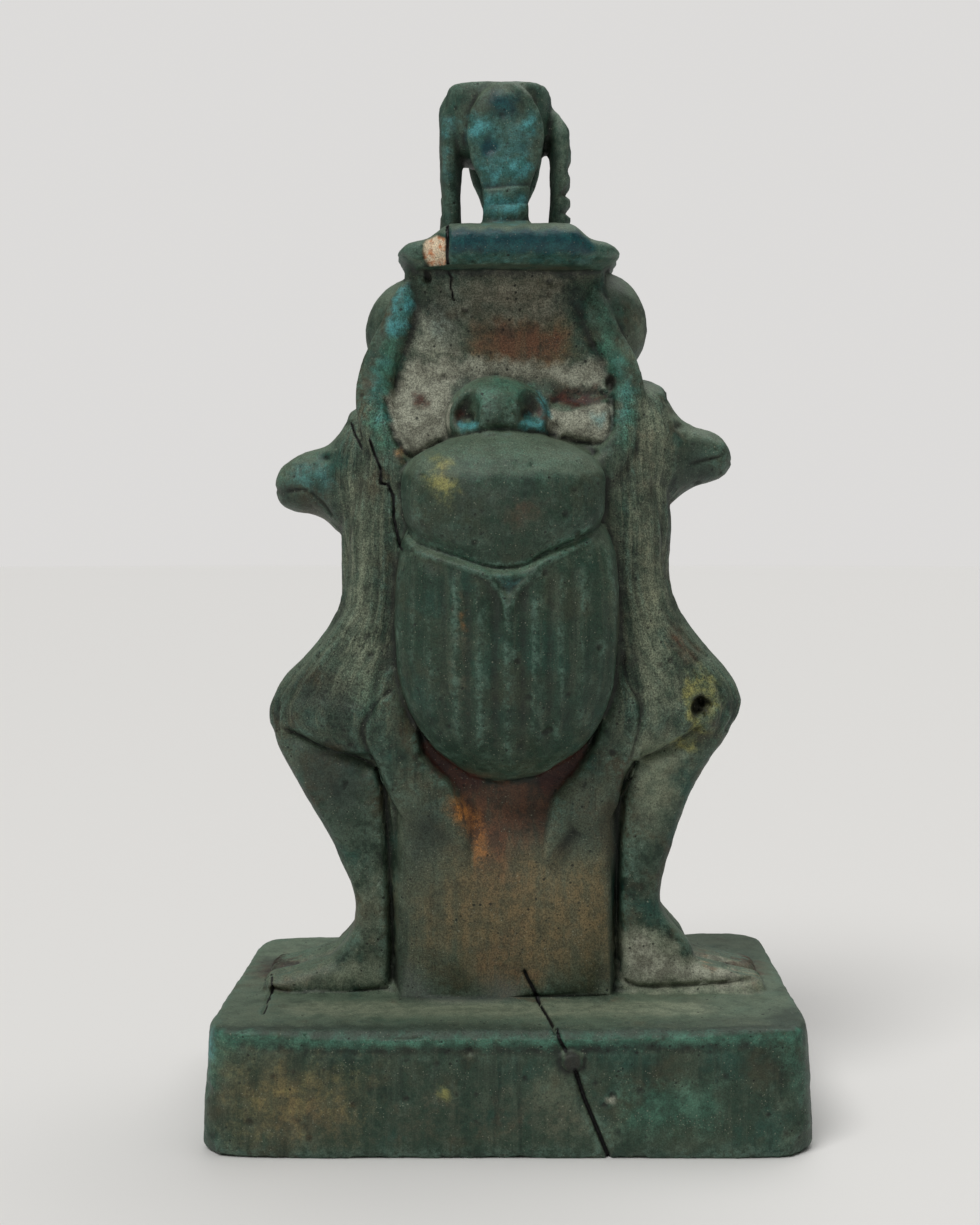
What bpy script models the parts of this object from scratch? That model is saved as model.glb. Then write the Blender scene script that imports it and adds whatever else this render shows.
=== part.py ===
# Faience amulet: two seated baboons back to back, a scarab in high relief, discs, abacus and cobra crown.
# One closed solid. Sizes are in millimetres. Heights of the figure are counted from the plinth's top, and
# places along x and y from the figure's own upright axis, which stands a little off the plinth's middle.

import math

import bmesh
import bpy

MM = 0.001

# Plinth, standing on z = 0 under the figure. It is hand cut, so its back edge is a little out of square
PLINTH_WIDTH = 34.0
PLINTH_SHIFT = 0.1
PLINTH_FRONT = -11.7
PLINTH_BACK = 12.9
PLINTH_HEIGHT = 7.1
PLINTH_TAPER = 0.35
PLINTH_EDGE = 0.55
PLINTH_SQUARENESS = 13.0
BACK_TURN = 0.75
BACK_SKEW = 0.5
MIDDLE_X = 0.35
MIDDLE_Y = 0.87

# Seat block and panel between the animals
BLOCK_HALF_WIDTH = 6.35
BLOCK_FRONT = -4.4
BLOCK_FLARE = 0.5
BLOCK_BACK = 5.4
BLOCK_TOP = 10.6
PANEL_FRONT = -2.9
PANEL_TOP = 42.6

# Baboons
LEG_GAP = 0.55
LEG_SPREAD = 1.95
FOOT_HALF_WIDTH = 1.6
FOOT_HEIGHT = 1.5
KNEE_SPREAD = 2.5

# Scarab
RIB_PITCH = 1.42
RIB_DEPTH = 0.42
SUTURE = 0.27
ELYTRA_SHIFT = 0.1

# Abacus and crown, each sunk a little into what carries it
ABACUS_SINK = 0.5
ABACUS_THICKNESS = 2.7
ABACUS_BOTTOM = PANEL_TOP - ABACUS_SINK
ABACUS_HALF_WIDTH = 6.3
ABACUS_SHIFT = 0.15
CROWN_SINK = 0.1
CROWN_BOTTOM = ABACUS_BOTTOM + ABACUS_THICKNESS - CROWN_SINK
CROWN_HEIGHT = 8.4
CROWN_RADIUS = 3.15
CROWN_SHIFT = 0.1

# Fineness of the skin
VOXEL = 0.19
SMOOTHING = 4
TRIANGLES = 9600


# Turns rows of numbers into a smooth run of rows, through every row given
def smooth_rows(rows, steps):
    out = []
    last = len(rows) - 1
    for i in range(last):
        before = rows[max(i - 1, 0)]
        start = rows[i]
        end = rows[i + 1]
        after = rows[min(i + 2, last)]
        for step in range(steps):
            t = step / steps
            out.append([blend(a, b, c, d, t) for a, b, c, d in zip(before, start, end, after)])
    out.append(list(rows[-1]))
    return out


def blend(a, b, c, d, t):
    slope_b = (c - a) / 2
    slope_c = (d - b) / 2
    t2 = t * t
    t3 = t2 * t
    return (2 * t3 - 3 * t2 + 1) * b + (t3 - 2 * t2 + t) * slope_b + (3 * t2 - 2 * t3) * c + (t3 - t2) * slope_c


def rounded(angle, squareness):
    c = math.cos(angle)
    s = math.sin(angle)
    power = 2 / squareness
    return math.copysign(abs(c) ** power, c), math.copysign(abs(s) ** power, s)


# A closed skin over rounded sections along one axis. A row is: place, centre u, centre v, half u, half v
def loft(bm, axis, rows, squareness=2.3, sides=32, steps=4, ripple=None):
    rings = []
    for at, mid_u, mid_v, half_u, half_v in smooth_rows(rows, steps):
        ring = []
        for side in range(sides):
            u, v = rounded(2 * math.pi * side / sides, squareness)
            u = mid_u + max(half_u, 0.02) * u
            v = mid_v + max(half_v, 0.02) * v
            if ripple and v < mid_v:
                v += ripple(u)
            place = {"x": (at, u, v), "y": (u, at, v), "z": (u, v, at)}[axis]
            ring.append(bm.verts.new(place))
        rings.append(ring)
    for low, high in zip(rings, rings[1:]):
        for side in range(sides):
            nxt = (side + 1) % sides
            bm.faces.new((low[side], low[nxt], high[nxt], high[side]))
    bm.faces.new(list(reversed(rings[0])))
    bm.faces.new(rings[-1])


def ball(bm, centre, radii, squareness=2.0):
    rows = []
    for step in range(13):
        angle = math.pi * step / 12
        share = math.sin(angle) ** (2 / squareness)
        rows.append((centre[2] - radii[2] * math.cos(angle), centre[0], centre[1], radii[0] * share, radii[1] * share))
    loft(bm, "z", rows, squareness, steps=2)


# A limb through places (x, y, z) with half widths, each section turned square to its path
def limb(bm, rows, flat=1.0, sides=20, steps=5):
    rows = smooth_rows(rows, steps)
    rings = []
    for i, (x, y, z, r) in enumerate(rows):
        x0, y0, z0, _ = rows[max(i - 1, 0)]
        x1, y1, z1, _ = rows[min(i + 1, len(rows) - 1)]
        run = math.hypot(x1 - x0, z1 - z0) or 1.0
        across = ((z1 - z0) / run, (x0 - x1) / run)
        ring = []
        for side in range(sides):
            angle = 2 * math.pi * side / sides
            u = r * math.cos(angle)
            v = r * flat * math.sin(angle)
            ring.append(bm.verts.new((x + across[0] * u, y + v, z + across[1] * u)))
        rings.append(ring)
    for low, high in zip(rings, rings[1:]):
        for side in range(sides):
            nxt = (side + 1) % sides
            bm.faces.new((low[side], low[nxt], high[nxt], high[side]))
    bm.faces.new(list(reversed(rings[0])))
    bm.faces.new(rings[-1])


def plinth(bm):
    half_x = PLINTH_WIDTH / 2
    half_y = (PLINTH_BACK - PLINTH_FRONT) / 2
    middle = (PLINTH_BACK + PLINTH_FRONT) / 2
    top = half_x - PLINTH_TAPER
    top_y = half_y - PLINTH_TAPER
    rows = [(-PLINTH_HEIGHT, PLINTH_SHIFT, middle, half_x - PLINTH_EDGE, half_y - PLINTH_EDGE)]
    rows.append((-PLINTH_HEIGHT + PLINTH_EDGE, PLINTH_SHIFT, middle, half_x, half_y))
    for step in range(5):
        angle = math.pi / 2 * step / 4
        inset = PLINTH_EDGE * (1 - math.cos(angle))
        rise = PLINTH_EDGE * math.sin(angle)
        rows.append((rise - PLINTH_EDGE, PLINTH_SHIFT, middle, top - inset, top_y - inset))
    loft(bm, "z", rows, PLINTH_SQUARENESS, sides=96, steps=1)
    for vert in bm.verts:
        share = (vert.co.y - PLINTH_FRONT) / (PLINTH_BACK - PLINTH_FRONT)
        vert.co.y += BACK_TURN * share * vert.co.x / half_x
        vert.co.x += BACK_SKEW * share


# The block between the legs and the panel above it, flat at the back
def block(bm):
    rows = []
    for level, front, half in (
        (-1.0, BLOCK_FRONT - BLOCK_FLARE, BLOCK_HALF_WIDTH),
        (BLOCK_TOP - 7.0, BLOCK_FRONT - BLOCK_FLARE / 2, BLOCK_HALF_WIDTH),
        (BLOCK_TOP - 2.2, BLOCK_FRONT, BLOCK_HALF_WIDTH - 0.05),
        (BLOCK_TOP, BLOCK_FRONT + 0.35, BLOCK_HALF_WIDTH - 0.1),
        (BLOCK_TOP + 2.4, BLOCK_FRONT + 0.7, BLOCK_HALF_WIDTH - 0.15),
        (32.0, BLOCK_FRONT + 0.7, BLOCK_HALF_WIDTH - 0.3),
        (34.5, PANEL_FRONT, BLOCK_HALF_WIDTH - 0.2),
        (PANEL_TOP, PANEL_FRONT, BLOCK_HALF_WIDTH - 0.5),
    ):
        rows.append((level, 0, (front + BLOCK_BACK) / 2, half, (BLOCK_BACK - front) / 2))
    loft(bm, "z", rows, 11.0, sides=64, steps=4)


# The two animals differ a little, as hand work does. Muzzle rows are: reach along x, top, bottom, half width.
# Cape rows are one outline of cape, arms and thighs: height, reach along x. Shin rows are the same.
BABOONS = {
    "left": {
        "side": -1,
        "toe": 14.3,
        "knee": 13.9,
        "muzzle": (
            (5.0, 35.2, 26.2, 4.1),
            (8.3, 34.4, 26.6, 3.7),
            (9.9, 33.0, 27.2, 2.9),
            (11.1, 31.75, 27.8, 2.2),
            (12.3, 31.35, 28.1, 1.95),
            (13.2, 30.85, 28.45, 1.6),
            (13.65, 30.2, 28.9, 0.9),
            (13.8, 29.7, 29.4, 0.3),
        ),
        "cape": (
            (14.2, 12.6),
            (15.3, 13.8),
            (16.5, 14.0),
            (17.5, 13.65),
            (18.5, 13.0),
            (19.4, 12.15),
            (20.5, 11.1),
            (21.6, 10.3),
            (22.9, 9.8),
            (24.5, 9.65),
            (27.4, 9.7),
            (30.5, 9.4),
            (33.0, 8.9),
            (34.4, 8.0),
            (35.0, 7.0),
        ),
        "shin": (
            (16.0, 13.7),
            (14.8, 13.45),
            (13.5, 12.85),
            (12.1, 12.05),
            (10.6, 11.2),
            (9.0, 10.3),
            (7.5, 9.6),
            (6.2, 9.1),
            (5.1, 8.9),
            (4.2, 9.1),
            (3.5, 9.5),
            (2.8, 10.2),
            (0.6, 11.0),
        ),
    },
    "right": {
        "side": 1,
        "toe": 15.4,
        "knee": 13.95,
        "muzzle": (
            (5.0, 36.4, 27.2, 4.1),
            (8.4, 35.8, 27.4, 3.7),
            (9.9, 34.5, 28.1, 2.9),
            (11.1, 33.5, 29.1, 2.2),
            (12.3, 32.9, 29.5, 1.95),
            (13.1, 32.4, 30.0, 1.6),
            (13.5, 31.7, 30.4, 0.9),
            (13.7, 31.2, 30.9, 0.3),
        ),
        "cape": (
            (14.8, 12.6),
            (15.8, 13.7),
            (16.9, 14.1),
            (17.7, 13.9),
            (18.5, 13.45),
            (19.3, 12.8),
            (20.2, 12.0),
            (21.1, 11.25),
            (22.3, 10.5),
            (23.5, 10.05),
            (25.0, 9.8),
            (27.6, 9.85),
            (30.5, 9.5),
            (33.5, 9.0),
            (35.2, 8.4),
            (36.1, 7.6),
        ),
        "shin": (
            (16.2, 13.6),
            (15.0, 13.0),
            (14.0, 12.3),
            (12.9, 11.6),
            (11.5, 10.85),
            (10.0, 10.3),
            (8.5, 9.8),
            (7.1, 9.4),
            (5.9, 9.15),
            (5.0, 9.25),
            (4.2, 9.7),
            (3.5, 10.3),
            (2.6, 11.0),
            (0.6, 11.6),
        ),
    },
}
CAPE_HALF_DEPTH = 4.7
KNEE_HALF_DEPTH = 4.35
HEAD_HALF_DEPTH = 2.9


def cape_half(z):
    if z < 19:
        return KNEE_HALF_DEPTH + (CAPE_HALF_DEPTH - KNEE_HALF_DEPTH) * max(z - 14, 0) / 5
    if z < 28:
        return CAPE_HALF_DEPTH
    return CAPE_HALF_DEPTH - (CAPE_HALF_DEPTH - HEAD_HALF_DEPTH) * ((z - 28) / 8) ** 1.6


def baboon(bm, shape):
    side = shape["side"]
    rows = [(z, side * (reach - 2) / 2, 0, (reach + 2) / 2, cape_half(z)) for z, reach in shape["cape"]]
    loft(bm, "z", rows, 3.4, sides=48)
    rows = [(side * x, 0, (top + low) / 2, half, (top - low) / 2) for x, top, low, half in shape["muzzle"]]
    loft(bm, "x", rows, 2.3)
    for near in (-1, 1):
        leg(bm, shape, near)


def leg(bm, shape, near):
    side = shape["side"]
    knee = shape["knee"]
    foot_y = near * LEG_SPREAD
    knee_y = near * KNEE_SPREAD
    # Forearm, a low swelling on the cape down to the hand on the knee
    limb(bm, (
        (side * (knee - 6.6), near * 2.9, 23.6, 1.4),
        (side * (knee - 5.2), near * 3.05, 20.9, 1.7),
        (side * (knee - 3.4), near * 3.0, 18.4, 1.7),
        (side * (knee - 1.9), knee_y, 16.9, 1.5),
        (side * (knee - 1.1), knee_y, 15.9, 1.0),
    ))
    # Thigh from the hip to the knee
    limb(bm, (
        (side * (knee - 10.6), near * 1.4, 15.6, 1.2),
        (side * (knee - 8.8), near * 2.1, 15.8, 2.0),
        (side * (knee - 6.2), near * 2.55, 16.0, 2.4),
        (side * (knee - 3.4), near * 2.7, 16.5, 2.1),
        (side * (knee - 1.7), knee_y, 16.5, 1.6),
        (side * (knee - 1.1), knee_y, 16.4, 1.0),
    ))
    # Shin, a loft of its own so that the groove beside the block stays open
    inner = BLOCK_HALF_WIDTH + LEG_GAP
    rows = []
    for z, reach in shape["shin"]:
        half = FOOT_HALF_WIDTH + 0.25 * max(0.0, min(1.0, (z - 6) / 6))
        rows.append((z, side * (inner + reach) / 2, foot_y, (reach - inner) / 2, half))
    loft(bm, "z", rows, 3.0)
    foot(bm, side, foot_y, shape["toe"])


def foot(bm, side, foot_y, toe):
    heel = BLOCK_HALF_WIDTH + LEG_GAP
    rows = []
    for share, high, half in (
        (0.0, 1.5, 0.85),
        (0.05, 2.2, 0.95),
        (0.3, 2.5, 1.0),
        (0.55, 1.75, 1.0),
        (0.8, 1.15, 1.05),
        (0.95, 0.9, 0.95),
        (1.0, 0.45, 0.7),
    ):
        x = side * (heel + share * (toe - heel))
        rows.append((x, foot_y, high / 2 - 0.5, FOOT_HALF_WIDTH * half, high / 2 + 0.5))
    loft(bm, "x", rows, 2.8)


# The inner core that joins the legs, set back from their faces
def seat(bm):
    rows = []
    for level, reach, half in (
        (-0.6, 8.6, 2.2),
        (4.0, 8.0, 2.2),
        (8.0, 8.9, 2.3),
        (12.0, 9.8, 2.5),
        (15.0, 10.4, 2.8),
        (17.0, 9.6, 3.0),
    ):
        rows.append((level, 0, 0, reach, half))
    loft(bm, "z", rows, 4.0, sides=40)


# Moon discs over the heads, and the shoulders of stone that join them to the panel
def discs(bm):
    for side in (-1, 1):
        loft(bm, "z", (
            (31.0, side * 5.2, 0.6, 2.4, 3.5),
            (34.5, side * 5.1, 0.6, 2.3, 3.4),
            (38.0, side * 5.0, 0.6, 2.1, 3.2),
            (41.0, side * 4.9, 0.6, 1.6, 3.0),
        ), 3.0)
    ball(bm, (-5.0, 0.5, 38.9), (3.3, 3.3, 3.3))
    ball(bm, (5.3, 0.5, 39.3), (3.25, 3.3, 3.3))


# A rib runs down the suture in the middle, and a furrow half a pitch to each side of it
def rib(u):
    offset = u - SUTURE
    return RIB_DEPTH * (1 - abs(math.cos(math.pi * offset / RIB_PITCH)) ** 0.7)


def scarab(bm):
    # Wing cases, ribbed along their length
    rows = []
    for level, front, half in (
        (12.75, -4.6, 1.2),
        (13.4, -5.9, 3.0),
        (14.6, -7.0, 4.5),
        (16.2, -7.9, 5.6),
        (18.4, -8.5, 6.2),
        (21.0, -8.7, 6.4),
        (24.0, -8.5, 6.35),
        (26.0, -8.0, 6.1),
        (27.4, -7.0, 5.6),
    ):
        rows.append((level, ELYTRA_SHIFT, (front - 2.0) / 2, half, (-2.0 - front) / 2))
    loft(bm, "z", rows, 2.5, sides=220, steps=5, ripple=rib)
    # Neck shield, wide above and rounded to a point below, and the head over it
    rows = []
    for level, front, half in (
        (24.75, -6.9, 0.7),
        (25.3, -8.1, 2.3),
        (26.1, -8.5, 4.0),
        (27.1, -8.75, 5.2),
        (28.1, -8.8, 5.7),
        (29.9, -8.5, 5.85),
        (31.0, -7.9, 5.6),
        (31.7, -7.3, 4.8),
        (32.3, -6.5, 3.6),
        (32.8, -5.5, 1.4),
    ):
        rows.append((level, -0.1, (front - 2.0) / 2, half, (-2.0 - front) / 2))
    loft(bm, "z", rows, 2.5, sides=48)
    ball(bm, (-0.5, -3.9, 33.4), (2.95, 2.6, 2.6), 2.3)
    # Forelegs, up and round the panel
    limb(bm, (
        (-5.6, -4.6, 30.2, 0.8),
        (-6.4, -4.1, 32.0, 1.05),
        (-7.2, -3.4, 34.2, 0.9),
        (-7.3, -3.0, 36.2, 0.85),
        (-6.7, -2.9, 38.2, 0.85),
        (-6.0, -3.0, 40.0, 0.8),
        (-5.6, -3.0, 41.4, 0.4),
    ))
    limb(bm, (
        (5.6, -4.6, 30.4, 0.8),
        (6.3, -4.2, 32.3, 0.95),
        (6.95, -3.5, 34.4, 0.8),
        (6.7, -3.1, 36.6, 0.75),
        (5.8, -3.0, 38.6, 0.8),
        (5.1, -3.0, 40.2, 0.8),
        (4.9, -3.0, 41.6, 0.4),
    ))
    # Hind legs, broad bands that run down onto the block and taper there
    for side in (-1, 1):
        shift = 0.15 if side > 0 else 0.0
        limb(bm, (
            (side * 6.4 + shift, -4.8, 19.0, 0.3),
            (side * 6.6 + shift, -4.7, 17.4, 0.8),
            (side * 6.5 + shift, -4.3, 15.4, 1.25),
            (side * 5.7 + shift, -4.1, 13.2, 1.5),
            (side * 4.6 + shift, -4.1, 11.2, 1.35),
            (side * 3.3 + shift, -4.1, 9.2, 0.9),
            (side * 2.1 + shift, -4.2, 7.2, 0.35),
        ), flat=0.65)


def abacus(bm):
    rows = []
    for share, inset in (
        (-0.11, 1.0),
        (0.0, 0.7),
        (0.11, 0.25),
        (0.26, 0.0),
        (0.48, 0.0),
        (0.67, 0.15),
        (0.8, 0.6),
        (0.93, 1.8),
        (1.0, 3.0),
    ):
        half = ABACUS_HALF_WIDTH - inset
        rows.append((ABACUS_BOTTOM + share * ABACUS_THICKNESS, ABACUS_SHIFT, 0, half, half))
    loft(bm, "z", rows, 6.0, sides=64, steps=2)


# One cobra of the crown, facing out at the given turn. Grow is the share of its height that is left
def cobra(bm, turn, grow, head_reach):
    start = len(bm.verts)
    radius = CROWN_RADIUS
    rows = []
    for share, half, thick in (
        (-0.05, 1.5, 0.75),
        (0.15, 1.42, 0.62),
        (0.38, 1.35, 0.6),
        (0.52, 1.7, 0.62),
        (0.66, 2.25, 0.68),
        (0.8, 2.3, 0.7),
        (0.9, 1.95, 0.7),
        (0.97, 1.5, 0.6),
        (1.0, 1.0, 0.3),
    ):
        high = share if share < 0.5 else 0.5 + (share - 0.5) * (grow - 0.5) / 0.5
        rows.append((CROWN_BOTTOM + high * CROWN_HEIGHT, 0, -radius, half, thick))
    loft(bm, "z", rows, 2.4)
    head = CROWN_BOTTOM + CROWN_HEIGHT * (grow - 0.08)
    ball(bm, (0, -radius - head_reach, head), (1.45, 0.8, 0.6))
    bm.verts.ensure_lookup_table()
    for vert in bm.verts[start:]:
        x, y, z = vert.co
        vert.co.x = x * math.cos(turn) - y * math.sin(turn) + CROWN_SHIFT
        vert.co.y = x * math.sin(turn) + y * math.cos(turn)


def crown(bm):
    # Front, right, back and left. The right one's head is broken off
    for quarter, (grow, head_reach) in enumerate(((1.0, 0.4), (0.86, -0.6), (0.97, 0.1), (0.96, -0.25))):
        cobra(bm, math.pi / 2 * quarter, grow, head_reach)
    rows = []
    for share, half in ((0.46, 1.6), (0.54, 2.9), (0.7, 3.0), (0.86, 2.9), (0.93, 2.6)):
        rows.append((CROWN_BOTTOM + share * CROWN_HEIGHT, CROWN_SHIFT, 0, half, half))
    loft(bm, "z", rows, 5.0)


def new_object(name, bm):
    mesh = bpy.data.meshes.new(name)
    bmesh.ops.recalc_face_normals(bm, faces=bm.faces)
    bmesh.ops.translate(bm, verts=bm.verts, vec=(-MIDDLE_X, -MIDDLE_Y, PLINTH_HEIGHT))
    bmesh.ops.scale(bm, verts=bm.verts, vec=(MM, MM, MM))
    bm.to_mesh(mesh)
    bm.free()
    made = bpy.data.objects.new(name, mesh)
    bpy.context.scene.collection.objects.link(made)
    return made


# What is hollowed out of the joined lumps: the eyes of the scarab and the space between legs
def cutters():
    bm = bmesh.new()
    ball(bm, (-2.2, -6.1, 33.6), (0.75, 1.2, 0.95))
    ball(bm, (1.6, -6.1, 33.7), (0.75, 1.2, 0.95))
    # The channel between each animal's two legs
    for side in (-1, 1):
        limb(bm, (
            (side * 11.0, 0, 26.0, 0.5),
            (side * 12.1, 0, 22.6, 1.3),
            (side * 13.9, 0, 19.0, 1.5),
            (side * 14.7, 0, 16.4, 1.2),
            (side * 13.3, 0, 12.0, 0.9),
            (side * 11.2, 0, 7.0, 0.9),
            (side * 11.4, 0, 3.4, 0.8),
        ))
    made = new_object("hollow_cutter", bm)
    made.hide_render = True
    made.display_type = "WIRE"
    return made


def skin(made, cutter):
    remesh = made.modifiers.new("join", "REMESH")
    remesh.mode = "VOXEL"
    remesh.voxel_size = VOXEL * MM
    cut = made.modifiers.new("hollows", "BOOLEAN")
    cut.operation = "DIFFERENCE"
    cut.object = cutter
    again = made.modifiers.new("even", "REMESH")
    again.mode = "VOXEL"
    again.voxel_size = VOXEL * MM
    relax = made.modifiers.new("relax", "SMOOTH")
    relax.factor = 0.5
    relax.iterations = SMOOTHING


def reduce(made):
    graph = bpy.context.evaluated_depsgraph_get()
    dense = bpy.data.meshes.new_from_object(made.evaluated_get(graph))
    made.modifiers.clear()
    made.data = dense
    flatten(dense)
    count = sum(len(face.vertices) - 2 for face in dense.polygons)
    triangles = made.modifiers.new("triangles", "TRIANGULATE")
    thin = made.modifiers.new("thin", "DECIMATE")
    thin.ratio = min(1.0, TRIANGLES / count)
    triangles.show_expanded = False
    graph = bpy.context.evaluated_depsgraph_get()
    light = bpy.data.meshes.new_from_object(made.evaluated_get(graph))
    made.modifiers.clear()
    made.data = light
    flatten(light)


# The rest face lies exactly on z = 0
def flatten(mesh):
    for vert in mesh.vertices:
        if vert.co.z < 0.12 * MM:
            vert.co.z = 0.0


def faience():
    material = bpy.data.materials.new("green faience")
    material.use_nodes = True
    surface = material.node_tree.nodes["Principled BSDF"]
    surface.inputs["Base Color"].default_value = (0.075, 0.145, 0.115, 1.0)
    surface.inputs["Roughness"].default_value = 0.62
    surface.inputs["Metallic"].default_value = 0.0
    return material


def main():
    for old in list(bpy.data.objects):
        bpy.data.objects.remove(old)
    bm = bmesh.new()
    plinth(bm)
    block(bm)
    seat(bm)
    for shape in BABOONS.values():
        baboon(bm, shape)
    discs(bm)
    scarab(bm)
    abacus(bm)
    crown(bm)
    made = new_object("amulet", bm)
    made.data.materials.append(faience())
    skin(made, cutters())
    reduce(made)


main()
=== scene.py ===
import math

import bpy
import numpy as np
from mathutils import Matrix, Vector
from mathutils.kdtree import KDTree


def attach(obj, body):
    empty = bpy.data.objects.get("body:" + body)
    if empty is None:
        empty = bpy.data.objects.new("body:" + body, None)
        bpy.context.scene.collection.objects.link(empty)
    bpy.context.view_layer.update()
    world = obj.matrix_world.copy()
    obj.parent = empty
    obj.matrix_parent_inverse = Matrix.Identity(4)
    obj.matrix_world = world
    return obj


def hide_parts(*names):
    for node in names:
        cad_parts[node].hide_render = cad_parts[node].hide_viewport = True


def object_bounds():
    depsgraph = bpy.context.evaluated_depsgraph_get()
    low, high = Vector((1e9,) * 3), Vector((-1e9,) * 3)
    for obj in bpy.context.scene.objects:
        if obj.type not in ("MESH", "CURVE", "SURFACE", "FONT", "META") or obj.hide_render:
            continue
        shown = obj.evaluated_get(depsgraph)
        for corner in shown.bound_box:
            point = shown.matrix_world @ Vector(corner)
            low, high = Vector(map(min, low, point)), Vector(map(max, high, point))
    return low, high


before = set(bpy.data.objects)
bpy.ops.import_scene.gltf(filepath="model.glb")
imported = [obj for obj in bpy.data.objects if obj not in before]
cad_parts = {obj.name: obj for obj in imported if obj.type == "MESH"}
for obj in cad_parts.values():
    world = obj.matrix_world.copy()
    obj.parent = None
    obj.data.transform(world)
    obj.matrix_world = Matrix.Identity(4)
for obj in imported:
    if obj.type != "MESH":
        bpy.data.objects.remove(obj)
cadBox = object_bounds()
print("frame loaded")

# Places are in millimetres from the figure's upright axis, and z from the floor. The plinth's middle
# stands a little off that axis, so everything is moved by it at the end.
mm = 0.001
plinthTop = 7.1
plinthMiddle = (0.35, 0.87)


def deselectAll():
    if bpy.context.mode != "OBJECT":
        bpy.ops.object.mode_set(mode="OBJECT")
    bpy.ops.object.select_all(action="DESELECT")


def blend(a, b, c, d, t):
    slopeB = (c - a) / 2
    slopeC = (d - b) / 2
    t2 = t * t
    t3 = t2 * t
    value = (2 * t3 - 3 * t2 + 1) * b + (t3 - 2 * t2 + t) * slopeB
    return value + (3 * t2 - 2 * t3) * c + (t3 - t2) * slopeC


# A smooth run of rows through every row given
def smoothRows(rows, steps):
    out = []
    last = len(rows) - 1
    for i in range(last):
        around = [rows[max(i - 1, 0)], rows[i], rows[i + 1], rows[min(i + 2, last)]]
        for step in range(steps):
            out.append([blend(*four, step / steps) for four in zip(*around)])
    out.append(list(rows[-1]))
    return out


def rounded(angle, squareness):
    c = math.cos(angle)
    s = math.sin(angle)
    return math.copysign(abs(c) ** (2 / squareness), c), math.copysign(abs(s) ** (2 / squareness), s)


lumps = []


# A lump drawn up from a filled ring, one extrusion a row. A row is: place, middle u and v, half u and v
def addLoft(axis, rows, squareness=2.3, sides=72, steps=5, lift=plinthTop):
    rows = smoothRows(rows, steps)
    deselectAll()
    bpy.ops.mesh.primitive_circle_add(vertices=sides, radius=1.0, fill_type="NGON", location=(0, 0, 0))
    made = bpy.context.object
    for vert in made.data.vertices:
        vert.co.x, vert.co.y = rounded(math.atan2(vert.co.y, vert.co.x), squareness)
    bpy.ops.object.mode_set(mode="EDIT")
    bpy.ops.mesh.select_all(action="SELECT")
    at, midU, midV, halfU, halfV = rows[0]
    halfU, halfV = max(halfU, 0.02), max(halfV, 0.02)
    bpy.ops.transform.resize(value=(halfU * mm, halfV * mm, 1), center_override=(0, 0, 0))
    bpy.ops.transform.translate(value=(midU * mm, midV * mm, at * mm))
    for row in rows[1:]:
        newU, newV = max(row[3], 0.02), max(row[4], 0.02)
        step = ((row[1] - midU) * mm, (row[2] - midV) * mm, (row[0] - at) * mm)
        bpy.ops.mesh.extrude_region_move(TRANSFORM_OT_translate={"value": step})
        middle = (row[1] * mm, row[2] * mm, row[0] * mm)
        bpy.ops.transform.resize(value=(newU / halfU, newV / halfV, 1), center_override=middle)
        at, midU, midV, halfU, halfV = row[0], row[1], row[2], newU, newV
    bpy.ops.mesh.select_all(action="SELECT")
    bpy.ops.mesh.normals_make_consistent(inside=False)
    bpy.ops.object.mode_set(mode="OBJECT")
    for vert in made.data.vertices:
        if axis == "x":
            vert.co = (vert.co.z, vert.co.x, vert.co.y)
        vert.co.z += lift * mm
    lumps.append(made)
    return made


def addBall(middle, radii, segments=72, rings=60, lift=plinthTop):
    deselectAll()
    bpy.ops.mesh.primitive_uv_sphere_add(segments=segments, ring_count=rings, radius=1.0, location=(0, 0, 0))
    made = bpy.context.object
    bpy.ops.object.mode_set(mode="EDIT")
    bpy.ops.mesh.select_all(action="SELECT")
    bpy.ops.transform.resize(value=[r * mm for r in radii], center_override=(0, 0, 0))
    bpy.ops.transform.translate(value=(middle[0] * mm, middle[1] * mm, (middle[2] + lift) * mm))
    bpy.ops.object.mode_set(mode="OBJECT")
    lumps.append(made)
    return made


# A round limb along a curve through places (x, y, z, half width), pressed flat towards y where asked
def addLimb(rows, flat=1.0, lift=plinthTop):
    deselectAll()
    bpy.ops.curve.primitive_bezier_curve_add(location=(0, 0, 0))
    made = bpy.context.object
    curve = made.data
    curve.dimensions = "3D"
    spline = curve.splines[0]
    spline.bezier_points.add(len(rows) - 2)
    for point, (x, y, z, r) in zip(spline.bezier_points, rows):
        point.co = (x * mm, y / flat * mm, (z + lift) * mm)
        point.radius = r
        point.handle_left_type = "AUTO"
        point.handle_right_type = "AUTO"
    curve.bevel_depth = mm
    curve.bevel_resolution = 12
    curve.resolution_u = 16
    curve.use_fill_caps = True
    bpy.ops.object.convert(target="MESH")
    made = bpy.context.object
    if flat != 1.0:
        bpy.ops.object.mode_set(mode="EDIT")
        bpy.ops.mesh.select_all(action="SELECT")
        bpy.ops.transform.resize(value=(1, flat, 1), center_override=(0, 0, 0))
        bpy.ops.object.mode_set(mode="OBJECT")
    lumps.append(made)
    return made


plinthShape = {
    "width": 34.0,
    "shift": 0.1,
    "front": -11.7,
    "back": 12.9,
    "taper": 0.35,
    "edge": 0.45,
    "squareness": 15.0,
    "backTurn": 0.75,
    "backSkew": 0.5,
}


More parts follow.
